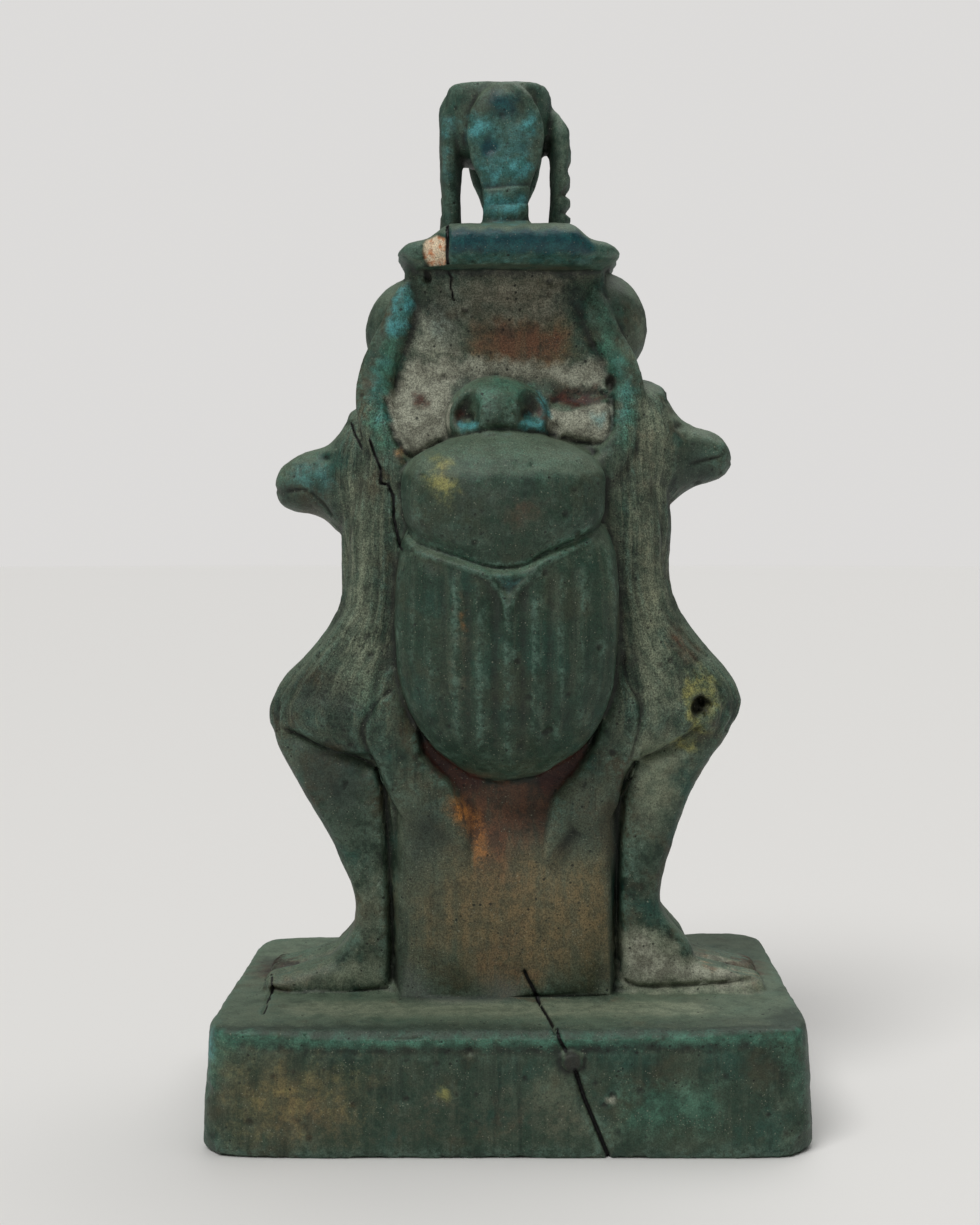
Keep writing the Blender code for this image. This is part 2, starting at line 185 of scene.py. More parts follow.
def addPlinth():
    shape = plinthShape
    halfX = shape["width"] / 2
    halfY = (shape["back"] - shape["front"]) / 2
    midY = (shape["back"] + shape["front"]) / 2
    edge = shape["edge"]
    rows = [(0.0, shape["shift"], midY, halfX - edge, halfY - edge)]
    for step in range(1, 4):
        turn = math.pi / 2 * step / 3
        inset = edge * (1 - math.sin(turn))
        rows.append((edge * (1 - math.cos(turn)), shape["shift"], midY, halfX - inset, halfY - inset))
    for step in range(6):
        turn = math.pi / 2 * step / 5
        inset = shape["taper"] + edge * (1 - math.cos(turn))
        level = plinthTop - edge + edge * math.sin(turn)
        rows.append((level, shape["shift"], midY, halfX - inset, halfY - inset))
    made = addLoft("z", rows, shape["squareness"], sides=160, steps=1, lift=0)
    for vert in made.data.vertices:
        share = (vert.co.y / mm - shape["front"]) / (shape["back"] - shape["front"])
        vert.co.y += shape["backTurn"] * mm * share * vert.co.x / mm / halfX
        vert.co.x += shape["backSkew"] * mm * share


blockShape = {
    "halfWidth": 6.35,
    "front": -4.4,
    "flare": 0.5,
    "back": 5.4,
    "top": 10.6,
    "panelFront": -2.9,
    "panelTop": 42.6,
}


# The block between the legs and the panel above it, flat at the back
def addBlock():
    shape = blockShape
    front, half, top = shape["front"], shape["halfWidth"], shape["top"]
    rows = []
    for level, face, halfX in (
        (-1.0, front - shape["flare"], half),
        (top - 7.0, front - shape["flare"] / 2, half),
        (top - 2.2, front, half - 0.05),
        (top + 6.4, front + 0.05, half - 0.1),
        (top + 9.0, front + 0.5, half - 0.15),
        (28.0, front + 0.7, half - 0.3),
        (31.0, shape["panelFront"], half - 0.2),
        (shape["panelTop"], shape["panelFront"], half - 0.5),
    ):
        rows.append((level, 0, (face + shape["back"]) / 2, halfX, (shape["back"] - face) / 2))
    addLoft("z", rows, 12.0, sides=96, steps=3)


# Muzzle rows are: reach along x, top, bottom, half width. Cape and shin rows are: height, reach along x
baboonShapes = {
    "left": {
        "side": -1,
        "toe": 14.3,
        "knee": 13.9,
        "muzzle": (
            (5, 35.2, 26.2, 4.1), (8.3, 34.5, 26.5, 3.7), (9.3, 33.7, 26.8, 3.25), (10, 32.75, 27.1, 2.8),
            (10.6, 32.25, 27.7, 2.45), (11.4, 31.96, 28.1, 2.15), (12.35, 31.6, 28.25, 1.95),
            (13.1, 31.05, 28.45, 1.65), (13.5, 30.55, 28.85, 1.1), (13.68, 30, 29.4, 0.3),
        ),
        "cape": (
            (14.2, 12.6), (15.3, 13.8), (16.5, 14), (17.5, 13.65), (18.5, 13), (19.4, 12.15), (20.5, 11.1),
            (21.6, 10.3), (22.9, 9.8), (24.5, 9.65), (27.4, 9.7), (30.5, 9.4), (33, 8.9), (34.3, 8.1),
            (35.1, 6.9), (35.7, 5.6), (36.1, 4.2),
        ),
        "shin": (
            (16, 13.7), (14.8, 13.45), (13.5, 12.85), (12.1, 12.05), (10.6, 11.2), (9, 10.3), (7.5, 9.6),
            (6.2, 9.05), (5.1, 8.85), (4.2, 8.9), (3.5, 9.1), (2.8, 9.5), (2, 10.2), (0.6, 11.2),
        ),
    },
    "right": {
        "side": 1,
        "toe": 15.4,
        "knee": 13.95,
        "muzzle": (
            (5, 36.4, 27.6, 4.1), (8.4, 36.1, 28, 3.7), (9.3, 35.5, 28.4, 3.3), (9.9, 34.5, 28.75, 2.9),
            (10.4, 33.85, 29.2, 2.5), (11.3, 33.3, 29.74, 2.15), (12.3, 33, 30.05, 1.95),
            (12.95, 32.6, 30.3, 1.7), (13.35, 32.05, 30.7, 1.1), (13.58, 31.4, 31, 0.3),
        ),
        "cape": (
            (14.8, 12.6), (15.8, 13.7), (16.9, 14.1), (17.7, 13.9), (18.5, 13.45), (19.3, 12.8),
            (20.2, 12), (21.1, 11.25), (22.3, 10.5), (23.5, 10.05), (25, 9.8), (27.6, 9.85), (30.5, 9.5),
            (33.5, 9.1), (35, 8.7), (36, 7.9), (36.7, 6.6), (37.1, 5),
        ),
        "shin": (
            (16.2, 13.6), (15, 13), (14, 12.3), (12.9, 11.6), (11.5, 10.85), (10, 10.3), (8.5, 9.8),
            (7.1, 9.4), (5.9, 9.15), (5, 9.25), (4.2, 9.7), (3.5, 10.3), (2.6, 11), (0.6, 11.6),
        ),
    },
}
baboonSizes = {
    "capeHalf": 4.7,
    "kneeHalf": 4.35,
    "headHalf": 2.9,
    "legSpread": 1.95,
    "kneeSpread": 2.5,
    "footHalf": 1.6,
    "legGap": 0.05,
    "core": (
        (-0.6, 8.6, 2.2), (4.0, 8.0, 2.2), (8.0, 8.9, 2.3),
        (12.0, 9.8, 2.5), (15.0, 10.4, 2.8), (17.0, 9.6, 3.0),
    ),
}


def capeHalf(z):
    sizes = baboonSizes
    if z < 19:
        return sizes["kneeHalf"] + (sizes["capeHalf"] - sizes["kneeHalf"]) * max(z - 14, 0) / 5
    if z < 28:
        return sizes["capeHalf"]
    return sizes["capeHalf"] - (sizes["capeHalf"] - sizes["headHalf"]) * ((z - 28) / 8) ** 1.6


def addLeg(shape, near):
    sizes = baboonSizes
    side, knee = shape["side"], shape["knee"]
    footY, kneeY = near * sizes["legSpread"], near * sizes["kneeSpread"]
    # forearm and hand
    addLimb((
        (side * (knee - 6.6), near * 2.9, 23.6, 1.2),
        (side * (knee - 5.2), near * 3.0, 20.9, 1.45),
        (side * (knee - 3.4), near * 2.9, 18.4, 1.5),
        (side * (knee - 1.9), kneeY, 16.9, 1.4),
        (side * (knee - 1.1), kneeY, 15.9, 1.0),
    ))
    # thigh
    addLimb((
        (side * (knee - 10.6), near * 1.4, 15.6, 1.2),
        (side * (knee - 8.8), near * 2.1, 15.8, 2.0),
        (side * (knee - 6.2), near * 2.5, 16.0, 2.3),
        (side * (knee - 3.4), near * 2.6, 16.5, 2.05),
        (side * (knee - 1.7), kneeY, 16.5, 1.6),
        (side * (knee - 1.1), kneeY, 16.4, 1.0),
    ))
    inner = blockShape["halfWidth"] + sizes["legGap"]
    rows = []
    for z, reach in shape["shin"]:
        half = 1.5 + 0.25 * max(0.0, min(1.0, (z - 6) / 6))
        rows.append((z, side * (inner + reach) / 2, footY, (reach - inner) / 2, half))
    addLoft("z", rows, 3.6)
    rows = []
    for share, high, half in (
        (0.0, 1.5, 0.85), (0.05, 2.2, 0.95), (0.3, 2.5, 1.0), (0.55, 1.75, 1.0),
        (0.8, 1.15, 1.05), (0.95, 0.9, 0.95), (1.0, 0.45, 0.7),
    ):
        reach = side * (inner + share * (shape["toe"] - inner))
        rows.append((reach, footY, high / 2 - 0.5, sizes["footHalf"] * half, high / 2 + 0.5))
    addLoft("x", rows, 2.8)


def addBaboons():
    for shape in baboonShapes.values():
        side = shape["side"]
        rows = [(z, side * (reach - 2) / 2, 0, (reach + 2) / 2, capeHalf(z)) for z, reach in shape["cape"]]
        addLoft("z", rows, 3.4, sides=96)
        rows = []
        for x, top, low, half in shape["muzzle"]:
            rows.append((side * x, 0, (top + low) / 2, half, (top - low) / 2))
        addLoft("x", rows, 2.3)
        for near in (-1, 1):
            addLeg(shape, near)
    # the core that joins the legs, set back from their faces
    rows = [(level, 0, 0, reach, half) for level, reach, half in baboonSizes["core"]]
    addLoft("z", rows, 4.0)


# Moon discs over the heads, and the shoulders of stone that join them to the panel
def addDiscs():
    for side in (-1, 1):
        addLoft("z", (
            (31.0, side * 5.2, 0.6, 2.4, 3.5),
            (34.5, side * 5.1, 0.6, 2.3, 3.4),
            (38.0, side * 5.0, 0.6, 2.1, 3.2),
            (41.0, side * 4.9, 0.6, 1.6, 3.0),
        ), 3.0)
    addBall((-5.0, 0.5, 38.9), (3.3, 3.3, 3.3))
    addBall((5.3, 0.5, 39.3), (3.25, 3.3, 3.3))


scarabShape = {
    "wings": (
        (12.75, -4.6, 1.2), (13.4, -5.9, 2.9), (14.6, -7, 4.3), (16.2, -7.9, 5.35), (18.4, -8.5, 6.1),
        (21, -8.7, 6.4), (24, -8.5, 6.35), (26, -8, 6.1), (27.4, -7, 5.6),
    ),
    "wingsShift": 0.1,
    "neckShield": (
        (24.75, -6.9, 0.7), (25.3, -8.1, 2.3), (26.1, -8.5, 4), (27.1, -8.75, 5.2), (28.1, -8.8, 5.7),
        (29.9, -8.5, 5.85), (30.7, -8.1, 5.6), (31.3, -7.7, 5.15), (31.8, -7.2, 4.4), (32.2, -6.7, 3.5),
        (32.55, -6.1, 2.4), (32.8, -5.4, 1.2),
    ),
    "neckShift": -0.1,
    "root": -2,
    "forelegs": (
        (
            (-5.6, -4.4, 30.0, 0.8), (-6.6, -3.9, 31.9, 1.15), (-7.3, -3.3, 33.4, 1.15),
            (-7.6, -2.9, 34.9, 1.1), (-7.45, -2.75, 36.3, 1.05), (-6.95, -2.7, 37.7, 0.95),
            (-6.35, -2.7, 39.0, 0.85), (-5.95, -2.65, 40.3, 0.8), (-5.7, -2.5, 41.6, 0.4),
        ),
        (
            (5.5, -4.4, 30.2, 0.8), (6.4, -3.9, 32.0, 1.05), (7.0, -3.3, 33.6, 1.0), (7.2, -2.9, 35.2, 0.95),
            (6.85, -2.75, 36.7, 0.9), (6.05, -2.7, 38.2, 0.9), (5.35, -2.7, 39.7, 0.9),
            (5.0, -2.5, 41.4, 0.5),
        ),
    ),
}


def addScarab():
    shape = scarabShape
    root = shape["root"]
    for part, shift, sides in (("wings", shape["wingsShift"], 96), ("neckShield", shape["neckShift"], 64)):
        rows = []
        for level, front, half in shape[part]:
            rows.append((level, shift, (front + root) / 2, half, (root - front) / 2))
        addLoft("z", rows, 2.5, sides=sides, steps=4)
    addBall((-0.5, -3.9, 33.4), (2.95, 2.6, 2.6))
    # forelegs, low bands up and round the panel
    for rows in shape["forelegs"]:
        addLimb(rows, flat=0.6)
    # hind legs, broad bands that run down onto the block
    for side, shift in ((-1, 0.0), (1, 0.15)):
        addLimb((
            (side * 6.4 + shift, -4.75, 19.2, 0.3),
            (side * 6.7 + shift, -4.7, 17.6, 0.85),
            (side * 6.6 + shift, -4.4, 15.6, 1.3),
            (side * 5.8 + shift, -4.15, 13.4, 1.6),
            (side * 4.6 + shift, -4.05, 11.2, 1.6),
            (side * 3.5 + shift, -4.05, 9.2, 1.2),
            (side * 2.4 + shift, -4.15, 7.4, 0.6),
        ), flat=0.42)


crownShape = {
    "abacusHalf": 6.45,
    "abacusShift": 0.2,
    "abacusSink": 0.15,
    "abacusThick": 2.35,
    "endsFrom": (-3.1, 3.7),
    "endsRun": 1.4,
    "endsLost": 0.36,
    "crownSink": 0.1,
    "height": 8.4,
    "radius": 3.24,
    "shift": 0.03,
    "drumShift": -0.4,
    "headHalf": 1.05,
}


def addAbacus():
    shape = crownShape
    bottom = blockShape["panelTop"] - shape["abacusSink"]
    rows = []
    for share, inset in (
        (-0.11, 1.0), (0.0, 0.7), (0.11, 0.25), (0.26, 0.0), (0.48, 0.0),
        (0.67, 0.15), (0.8, 0.6), (0.93, 1.8), (1.0, 3.0),
    ):
        half = shape["abacusHalf"] - inset
        rows.append((bottom + share * shape["abacusThick"], shape["abacusShift"], 0, half, half))
    made = addLoft("z", rows, 6.0, sides=96, steps=2)
    foot = (bottom + plinthTop) * mm
    middle = foot + 0.3 * shape["abacusThick"] * mm
    low, high = shape["endsFrom"]
    for vert in made.data.vertices:
        # both ends are broken down to low steps with round tips
        x = vert.co.x / mm
        share = min(max(max(low - x, x - high) / shape["endsRun"], 0), 1)
        worn = share * share * (3 - 2 * share)
        if vert.co.z > foot:
            vert.co.z = foot + (vert.co.z - foot) * (1 - shape["endsLost"] * worn)
        tip = min(max((abs(x - shape["abacusShift"]) - 5.2) / 1.25, 0), 1)
        vert.co.z = middle + (vert.co.z - middle) * (1 - 0.4 * tip ** 2)
        vert.co.y *= 1 - 0.12 * worn


# One cobra of the crown. Grow is the share of its height that is left
def addCobra(turn, grow, headReach, broken):
    shape = crownShape
    bottom = blockShape["panelTop"] - shape["abacusSink"] + shape["abacusThick"] - shape["crownSink"]
    rows = []
    for share, half, thick in (
        (-0.05, 1.42, 0.75), (0.1, 1.33, 0.62), (0.19, 1.31, 0.58), (0.27, 1.42, 0.58), (0.35, 1.7, 0.6),
        (0.44, 2.02, 0.62), (0.56, 2.24, 0.66), (0.67, 2.3, 0.68), (0.77, 2.12, 0.7), (0.86, 1.74, 0.7),
        (0.93, 1.28, 0.62), (0.98, 0.8, 0.45), (1.0, 0.5, 0.3),
    ):
        high = share if share < 0.5 else 0.5 + (share - 0.5) * (grow - 0.5) / 0.5
        rows.append((bottom + high * shape["height"], 0, -shape["radius"], half, thick))
    body = addLoft("z", rows, 2.4)
    head = addBall((0, -shape["radius"] - headReach, bottom + shape["height"] * (grow - 0.15)),
                   (shape["headHalf"], 0.62, 1.1))
    for made in (body, head):
        for vert in made.data.vertices:
            x, y, z = vert.co
            if broken:
                # a broken top slopes away outwards
                edge = bottom + plinthTop + shape["height"] * 0.83 - (-y / mm - 3.0) * 1.4
                z = min(z, edge * mm)
                vert.co.z = z
            vert.co.x = x * math.cos(turn) - y * math.sin(turn) + shape["shift"] * mm
            vert.co.y = x * math.sin(turn) + y * math.cos(turn)


def addCrown():
    shape = crownShape
    cobras = ((0.98, 0.22, False), (0.92, -0.5, True), (0.97, 0.1, False), (0.97, -0.35, False))
    for quarter, (grow, headReach, broken) in enumerate(cobras):
        addCobra(math.pi / 2 * quarter, grow, headReach, broken)
    bottom = blockShape["panelTop"] - shape["abacusSink"] + shape["abacusThick"] - shape["crownSink"]
    rows = []
    for share, half in ((0.46, 1.2), (0.52, 2.4), (0.6, 2.9), (0.75, 3.1), (0.93, 3.1), (1.0, 2.95)):
        rows.append((bottom + share * shape["height"], shape["drumShift"], 0, half, half))
    addLoft("z", rows, 2.9, sides=96)


skinValues = {
    "voxel": 0.12,
    "smoothing": 11,
    "triangles": 197000,
}


# All lumps become one closed skin
def joinLumps():
    deselectAll()
    for lump in lumps:
        lump.select_set(True)
    bpy.context.view_layer.objects.active = lumps[0]
    bpy.ops.object.join()
    made = bpy.context.object
    made.name = "amuletBody"
    made.data.name = "amuletBody"
    remesh = made.modifiers.new("join", "REMESH")
    remesh.mode = "VOXEL"
    remesh.voxel_size = skinValues["voxel"] * mm
    bpy.ops.object.modifier_apply(modifier="join")
    relax = made.modifiers.new("relax", "SMOOTH")
    relax.factor = 0.5
    relax.iterations = skinValues["smoothing"]
    bpy.ops.object.modifier_apply(modifier="relax")
    return made


def readSkin(made):
    count = len(made.data.vertices)
    place = np.empty(count * 3, dtype=np.float32)
    made.data.vertices.foreach_get("co", place)
    facing = np.empty(count * 3, dtype=np.float32)
    made.data.vertex_normals.foreach_get("vector", facing)
    place = place.reshape(-1, 3).astype(np.float64) / mm
    return {"place": place, "facing": facing.reshape(-1, 3).astype(np.float64)}


def writeSkin(made, skin):
    made.data.vertices.foreach_set("co", (skin["place"] * mm).astype(np.float32).ravel())
    made.data.update()


def rise(value, low, high):
    t = np.clip((value - low) / (high - low), 0, 1)
    return t * t * (3 - 2 * t)


# A tool works from one side: which two axes it draws on, and which way is into the stone
toolSides = {
    "front": (0, 2, (0, 1, 0)),
    "back": (0, 2, (0, -1, 0)),
    "left": (1, 2, (1, 0, 0)),
    "right": (1, 2, (-1, 0, 0)),
    "top": (0, 1, (0, 0, -1)),
}


# For each point: how far from the drawn line, on which side of it, and how far along as a share
def measureLine(u, v, line):
    away = np.full(u.shape, 1e6)
    side = np.ones(u.shape)
    along = np.zeros(u.shape)
    lengths = [math.dist(a, b) for a, b in zip(line, line[1:])]
    total = sum(lengths)
    before = 0.0
    for (u0, v0), (u1, v1), length in zip(line, line[1:], lengths):
        du, dv = u1 - u0, v1 - v0
        t = np.clip(((u - u0) * du + (v - v0) * dv) / (length * length), 0, 1)
        gap = np.hypot(u - u0 - t * du, v - v0 - t * dv)
        closer = gap < away
        away = np.where(closer, gap, away)
        side = np.where(closer, np.sign(du * (v - v0) - dv * (u - u0)), side)
        along = np.where(closer, (before + t * length) / total, along)
        before += length
    return away, side, along


# The height or width of a drawn line at each place along its other direction
def lineAt(values, line, known=0):
    given = [point[known] for point in line]
    return np.interp(values, given, [point[1 - known] for point in line])


# Wide enough for every point that a tool can reach
everywhere = ((-20, -20), (20, 70))


# Points near a line that face the tool, with their weight
def underTool(skin, toolSide, low, high, reach):
    uAxis, vAxis, into = toolSides[toolSide]
    place = skin["place"]
    weight = rise(-skin["facing"] @ np.array(into, dtype=float), 0.05, 0.4)
    near = weight > 0
    near &= (place[:, uAxis] > low[0]) & (place[:, uAxis] < high[0])
    near &= (place[:, vAxis] > low[1]) & (place[:, vAxis] < high[1])
    if reach:
        across = place[:, 3 - uAxis - vAxis]
        near &= (across > reach[0]) & (across < reach[1])
    near = np.flatnonzero(near)
    return near, weight[near], place[near, uAxis], place[near, vAxis], np.array(into, dtype=float)


# Draws a tool along a line. Depth under zero raises the clay instead
def press(skin, toolSide, line, width, depth, profile="round", reach=None, curved=True, fade=0.08, lip=0.12):
    line = smoothRows(line, 3) if curved and len(line) > 2 else line
    us = [point[0] for point in line]
    vs = [point[1] for point in line]
    margin = width * 2.4
    low = (min(us) - margin, min(vs) - margin)
    high = (max(us) + margin, max(vs) + margin)
    near, weight, u, v, into = underTool(skin, toolSide, low, high, reach)
    if not len(near):
        return
    away, side, along = measureLine(u, v, line)
    if profile == "round":
        shape = np.exp(-((away / width) ** 2))
    elif profile == "sharp":
        shape = np.clip(1 - away / width, 0, 1)
    else:
        # a ledge: it drops at the line to one side of it, and eases out over the width
        across = away * side if profile == "ledgeLeft" else -away * side
        shape = rise(across, -lip, lip) * np.exp(-((np.maximum(across, 0) / width) ** 2))
    if fade:
        shape = shape * rise(along, 0, fade) * rise(1 - along, 0, fade)
    skin["place"][near] += (shape * weight * depth)[:, None] * into


# A round dent, or a bump where depth is under zero
def dent(skin, toolSide, middle, radii, depth, reach=None, power=2.0, turn=0.0):
    size = max(radii)
    low = (middle[0] - size, middle[1] - size)
    high = (middle[0] + size, middle[1] + size)
    near, weight, u, v, into = underTool(skin, toolSide, low, high, reach)
    if not len(near):
        return
    c, s = math.cos(turn), math.sin(turn)
    du, dv = u - middle[0], v - middle[1]
    r2 = ((du * c + dv * s) / radii[0]) ** 2 + ((dv * c - du * s) / radii[1]) ** 2
    shape = np.clip(1 - r2, 0, 1) ** power
    skin["place"][near] += (shape * weight * depth)[:, None] * into


# Cracks as the photograph shows them: side, how deep into the figure they reach, width, depth and line
crackLines = {
    "cape": ("front", (-6, -0.5), 0.12, 0.4, (
        (-7.83, 39.47), (-7.47, 38.45), (-7.2, 37.8), (-7.18, 36.92), (-6.74, 36.84), (-6.45, 36.19),
        (-6.41, 34.94), (-6.04, 33.26), (-5.8, 33.07),
    )),
    "shoulder": ("front", (-6, -0.5), 0.1, 0.3, (
        (-9, 40.5), (-8.74, 39.79), (-8.49, 39.35), (-8.28, 38.91),
    )),
    "abacus": ("front", (-7.5, -4.5), 0.14, 0.45, ((-3.3, 51.7), (-3.25, 50.53), (-3.3, 49.6), (-3.2, 49))),
    "belowAbacus": ("front", (-4.5, -1.5), 0.1, 0.25, (
        (-3.3, 49.2), (-3.12, 48.9), (-3.16, 48.36), (-2.98, 47.56),
    )),
    "block": ("front", (-6, -3.5), 0.15, 0.35, (
        (1.09, 8.75), (1.28, 8.3), (1.49, 7.92), (1.75, 7.4), (1.91, 6.9),
    )),
    "plinthTop": ("top", (6.75, 8), 0.16, 0.35, (
        (1.9, -4.6), (2.05, -6.2), (2.35, -8.5), (2.66, -10.8), (2.74, -11.6),
    )),
    "plinthEdge": ("front", (-13, -10.5), 0.16, 0.4, ((2.7, 7.1), (2.78, 6.85), (2.9, 6.5), (3.25, 5.85))),
    "plinthFront": ("front", (-13, -10.5), 0.17, 0.45, (
        (3.72, 4.95), (4.25, 3.29), (4.95, 1.64), (5.5, 0.31), (5.68, -0.3),
    )),
    "toe": ("front", (-5, -0.5), 0.08, 0.2, ((-13.74, 7.9), (-13.65, 7.4), (-13.62, 6.95))),
    "toeTop": ("top", (6.3, 8), 0.08, 0.2, ((-13.7, -3), (-13.75, -5), (-13.6, -6.8), (-13.62, -8.4))),
}

neckEdges = {
    "lower": (
        (-5.76, 35.06), (-5.54, 34.27), (-4.9, 33.55), (-2.65, 32.8), (-1, 32.28), (0.1, 32.2),
        (1.2, 32.42), (2.35, 33.1), (4.8, 34.25), (5.33, 35.11),
    ),
    "upper": (
        (-5.84, 37.16), (-5.11, 38.29), (-3.3, 39.24), (-1.56, 39.69), (-0.04, 39.8), (1.94, 39.64),
        (3.51, 39.24), (5.43, 38.57),
    ),
}
# Each furrow: place, width and depth. The ridge beside it: distance, width and depth
wingValues = {
    "furrows": (
        (-4.95, 0.3, 0.1), (-3.48, 0.36, 0.15), (-2.16, 0.38, 0.17), (-0.54, 0.42, 0.2),
        (1.0, 0.4, 0.19), (2.46, 0.38, 0.16), (3.7, 0.34, 0.12), (5.08, 0.3, 0.09),
    ),
    "ridge": (0.62, 0.16, -0.05),
    "underShield": 0.75,
    "bottom": 20.9,
    "bottomCurve": 0.085,
    "rimDrop": 0.55,
    "middleRims": (
        ((-1.5, 32.0), (-0.8, 31.35), (-0.3, 30.7), (0.0, 29.9), (0.1, 29.2)),
        ((2.1, 32.1), (1.25, 31.5), (0.6, 30.8), (0.3, 30.0), (0.2, 29.2)),
    ),
    "outerRims": (
        ((-5.96, 32.54), (-6.12, 30.28), (-6.12, 28.02), (-5.9, 25.18), (-5.2, 23.2)),
        ((5.73, 33.67), (6.1, 31.41), (6.3, 29.15), (6.3, 26.88), (5.9, 24.61), (5.1, 22.9)),
    ),
}


def carveWings(skin):
    values = wingValues
    gap, ridgeWidth, ridgeDepth = values["ridge"]
    for x, width, depth in values["furrows"]:
        # the furrows start under the neck shield's lower edge and follow the wing's curve
        top = lineAt(x, neckEdges["lower"]) - values["underShield"]
        low = values["bottom"] + values["bottomCurve"] * (x - scarabShape["wingsShift"]) ** 2
        upper = (x + 0.07 * math.sin(5 * x), 28.8)
        lower = (x - 0.07 * math.sin(9 * x), 25.2)
        line = ((x * 1.02, top), upper, lower, (x * 0.94, low))
        press(skin, "front", line, width=width, depth=depth, reach=(-9.6, -5.0), fade=0.12)
        # a low light ridge beside each
        ridge = [(u + gap + 0.05 * math.sin(7 * v), v) for u, v in line]
        press(skin, "front", ridge, width=ridgeWidth, depth=ridgeDepth, reach=(-9.6, -5.0), fade=0.2)
    # the small shield between the wing cases: their two light rims run down to the suture
    for line in values["middleRims"]:
        press(skin, "front", line, width=0.17, depth=-0.17, reach=(-9.6, -6.0), fade=0.1)
    dent(skin, "front", (0.15, 31.75), radii=(0.85, 0.4), depth=-0.2, reach=(-9.6, -6.0))
    dent(skin, "front", (0.2, 30.9), radii=(0.4, 0.5), depth=0.14, reach=(-9.6, -6.0))
    # wing cases drop under the neck shield, then rise to a light rim
    press(skin, "front", neckEdges["lower"], width=0.24, depth=0.36, profile="ledgeRight",
          reach=(-9.6, -5.5), fade=0.03, lip=0.14)
    rim = [(x, z - values["rimDrop"]) for x, z in neckEdges["lower"]]
    press(skin, "front", rim, width=0.17, depth=-0.13, reach=(-9.6, -5.5), fade=0.08)
    for line in values["outerRims"]:
        press(skin, "front", line, width=0.2, depth=-0.14, reach=(-8.6, -3.0), fade=0.2)
        press(skin, "front", [(x * 0.92, z) for x, z in line], width=0.22, depth=0.13, reach=(-9.0, -4.0),
              fade=0.25)


# Eye hollows: place and lean. Crust: the lines round its lobes, and its lumps as middle, radii, depth
headValues = {
    "eyes": ((-2.2, 40.95, -0.35), (1.45, 41.15, 0.35)),
    "crustEdges": (
        (
            (-6.93, 41.98), (-6.7, 40.65), (-6.36, 39.66), (-5.78, 38.67), (-5.19, 38.44), (-4.32, 38.96),
            (-3.5, 39.43),
        ),
        (
            (6.17, 42.2), (6.17, 40.82), (6.11, 40.01), (5.59, 39.31), (5.12, 39.25), (4.07, 39.43),
            (3.2, 39.72),
        ),
    ),
    "crustLumps": (
        ((3.9, 40.4), (2.3, 1.2), -0.3), ((-4.9, 40.3), (1.7, 2.0), -0.22),
        ((4.5, 42.1), (1.9, 0.55), 0.35), ((-4.6, 41.6), (0.8, 0.6), 0.2),
        ((6.1, 42.8), (0.28, 0.5), 0.45), ((-4.5, 49.0), (0.28, 0.5), 0.45),
        ((-2.33, 47.02), (0.22, 0.22), 0.25), ((2.9, 40.1), (0.5, 0.5), 0.3),
    ),
    "forelegCreases": (
        ((-6.6, 42.3), (-6.45, 43.6), (-5.95, 44.9), (-5.35, 46.0), (-5.05, 47.2), (-5.2, 48.5)),
        ((6.3, 42.6), (6.0, 43.7), (5.2, 44.9), (4.55, 46.2), (4.2, 47.3), (4.1, 48.3)),
    ),
}


def carveHead(skin):
    values = headValues
    # the neck shield's upper edge, over the head and the panel
    press(skin, "front", neckEdges["upper"], width=0.4, depth=0.34, profile="ledgeLeft", reach=(-9.0, -3.0))
    # eye hollows, drawn out downwards and away from the middle
    for x, z, lean in values["eyes"]:
        dent(skin, "front", (x, z), radii=(0.78, 1.15), depth=1.15, reach=(-8.0, -2.6), power=1.1, turn=lean)
        dent(skin, "front", (x - lean, z - 0.45), radii=(0.6, 0.55), depth=0.45, reach=(-8.0, -2.6),
             power=1.2)
    dent(skin, "front", (-0.35, 39.95), radii=(0.8, 0.35), depth=0.15, reach=(-8.0, -4.5))
    # crust of the panel: two lobes with a dark line round each
    for line in values["crustEdges"]:
        press(skin, "front", line, width=0.16, depth=0.3, reach=(-6.0, -1.5), fade=0.05)
    for middle, radii, depth in values["crustLumps"]:
        dent(skin, "front", middle, radii=radii, depth=depth, reach=(-5.0, -1.5), power=1.3)
    press(skin, "front", ((2.6, 41.6), (3.6, 41.75), (4.6, 41.5), (5.6, 41.6)), width=0.2, depth=0.25,
          reach=(-5.0, -1.5), fade=0.1)
    press(skin, "front", ((5.5, 42.4), (5.9, 41.9), (6.1, 41.3)), width=0.1, depth=0.2, reach=(-5.0, -1.5),
          fade=0.1)
    # forelegs: a crease on the panel's side, a soft ridge along each
    for line in values["forelegCreases"]:
        press(skin, "front", line, width=0.34, depth=0.1, reach=(-5.0, -1.2), fade=0.25)
    dent(skin, "front", (-5.9, 46.9), radii=(0.65, 1.7), depth=-0.22, reach=(-5.0, -1.2), power=1.2,
         turn=0.12)


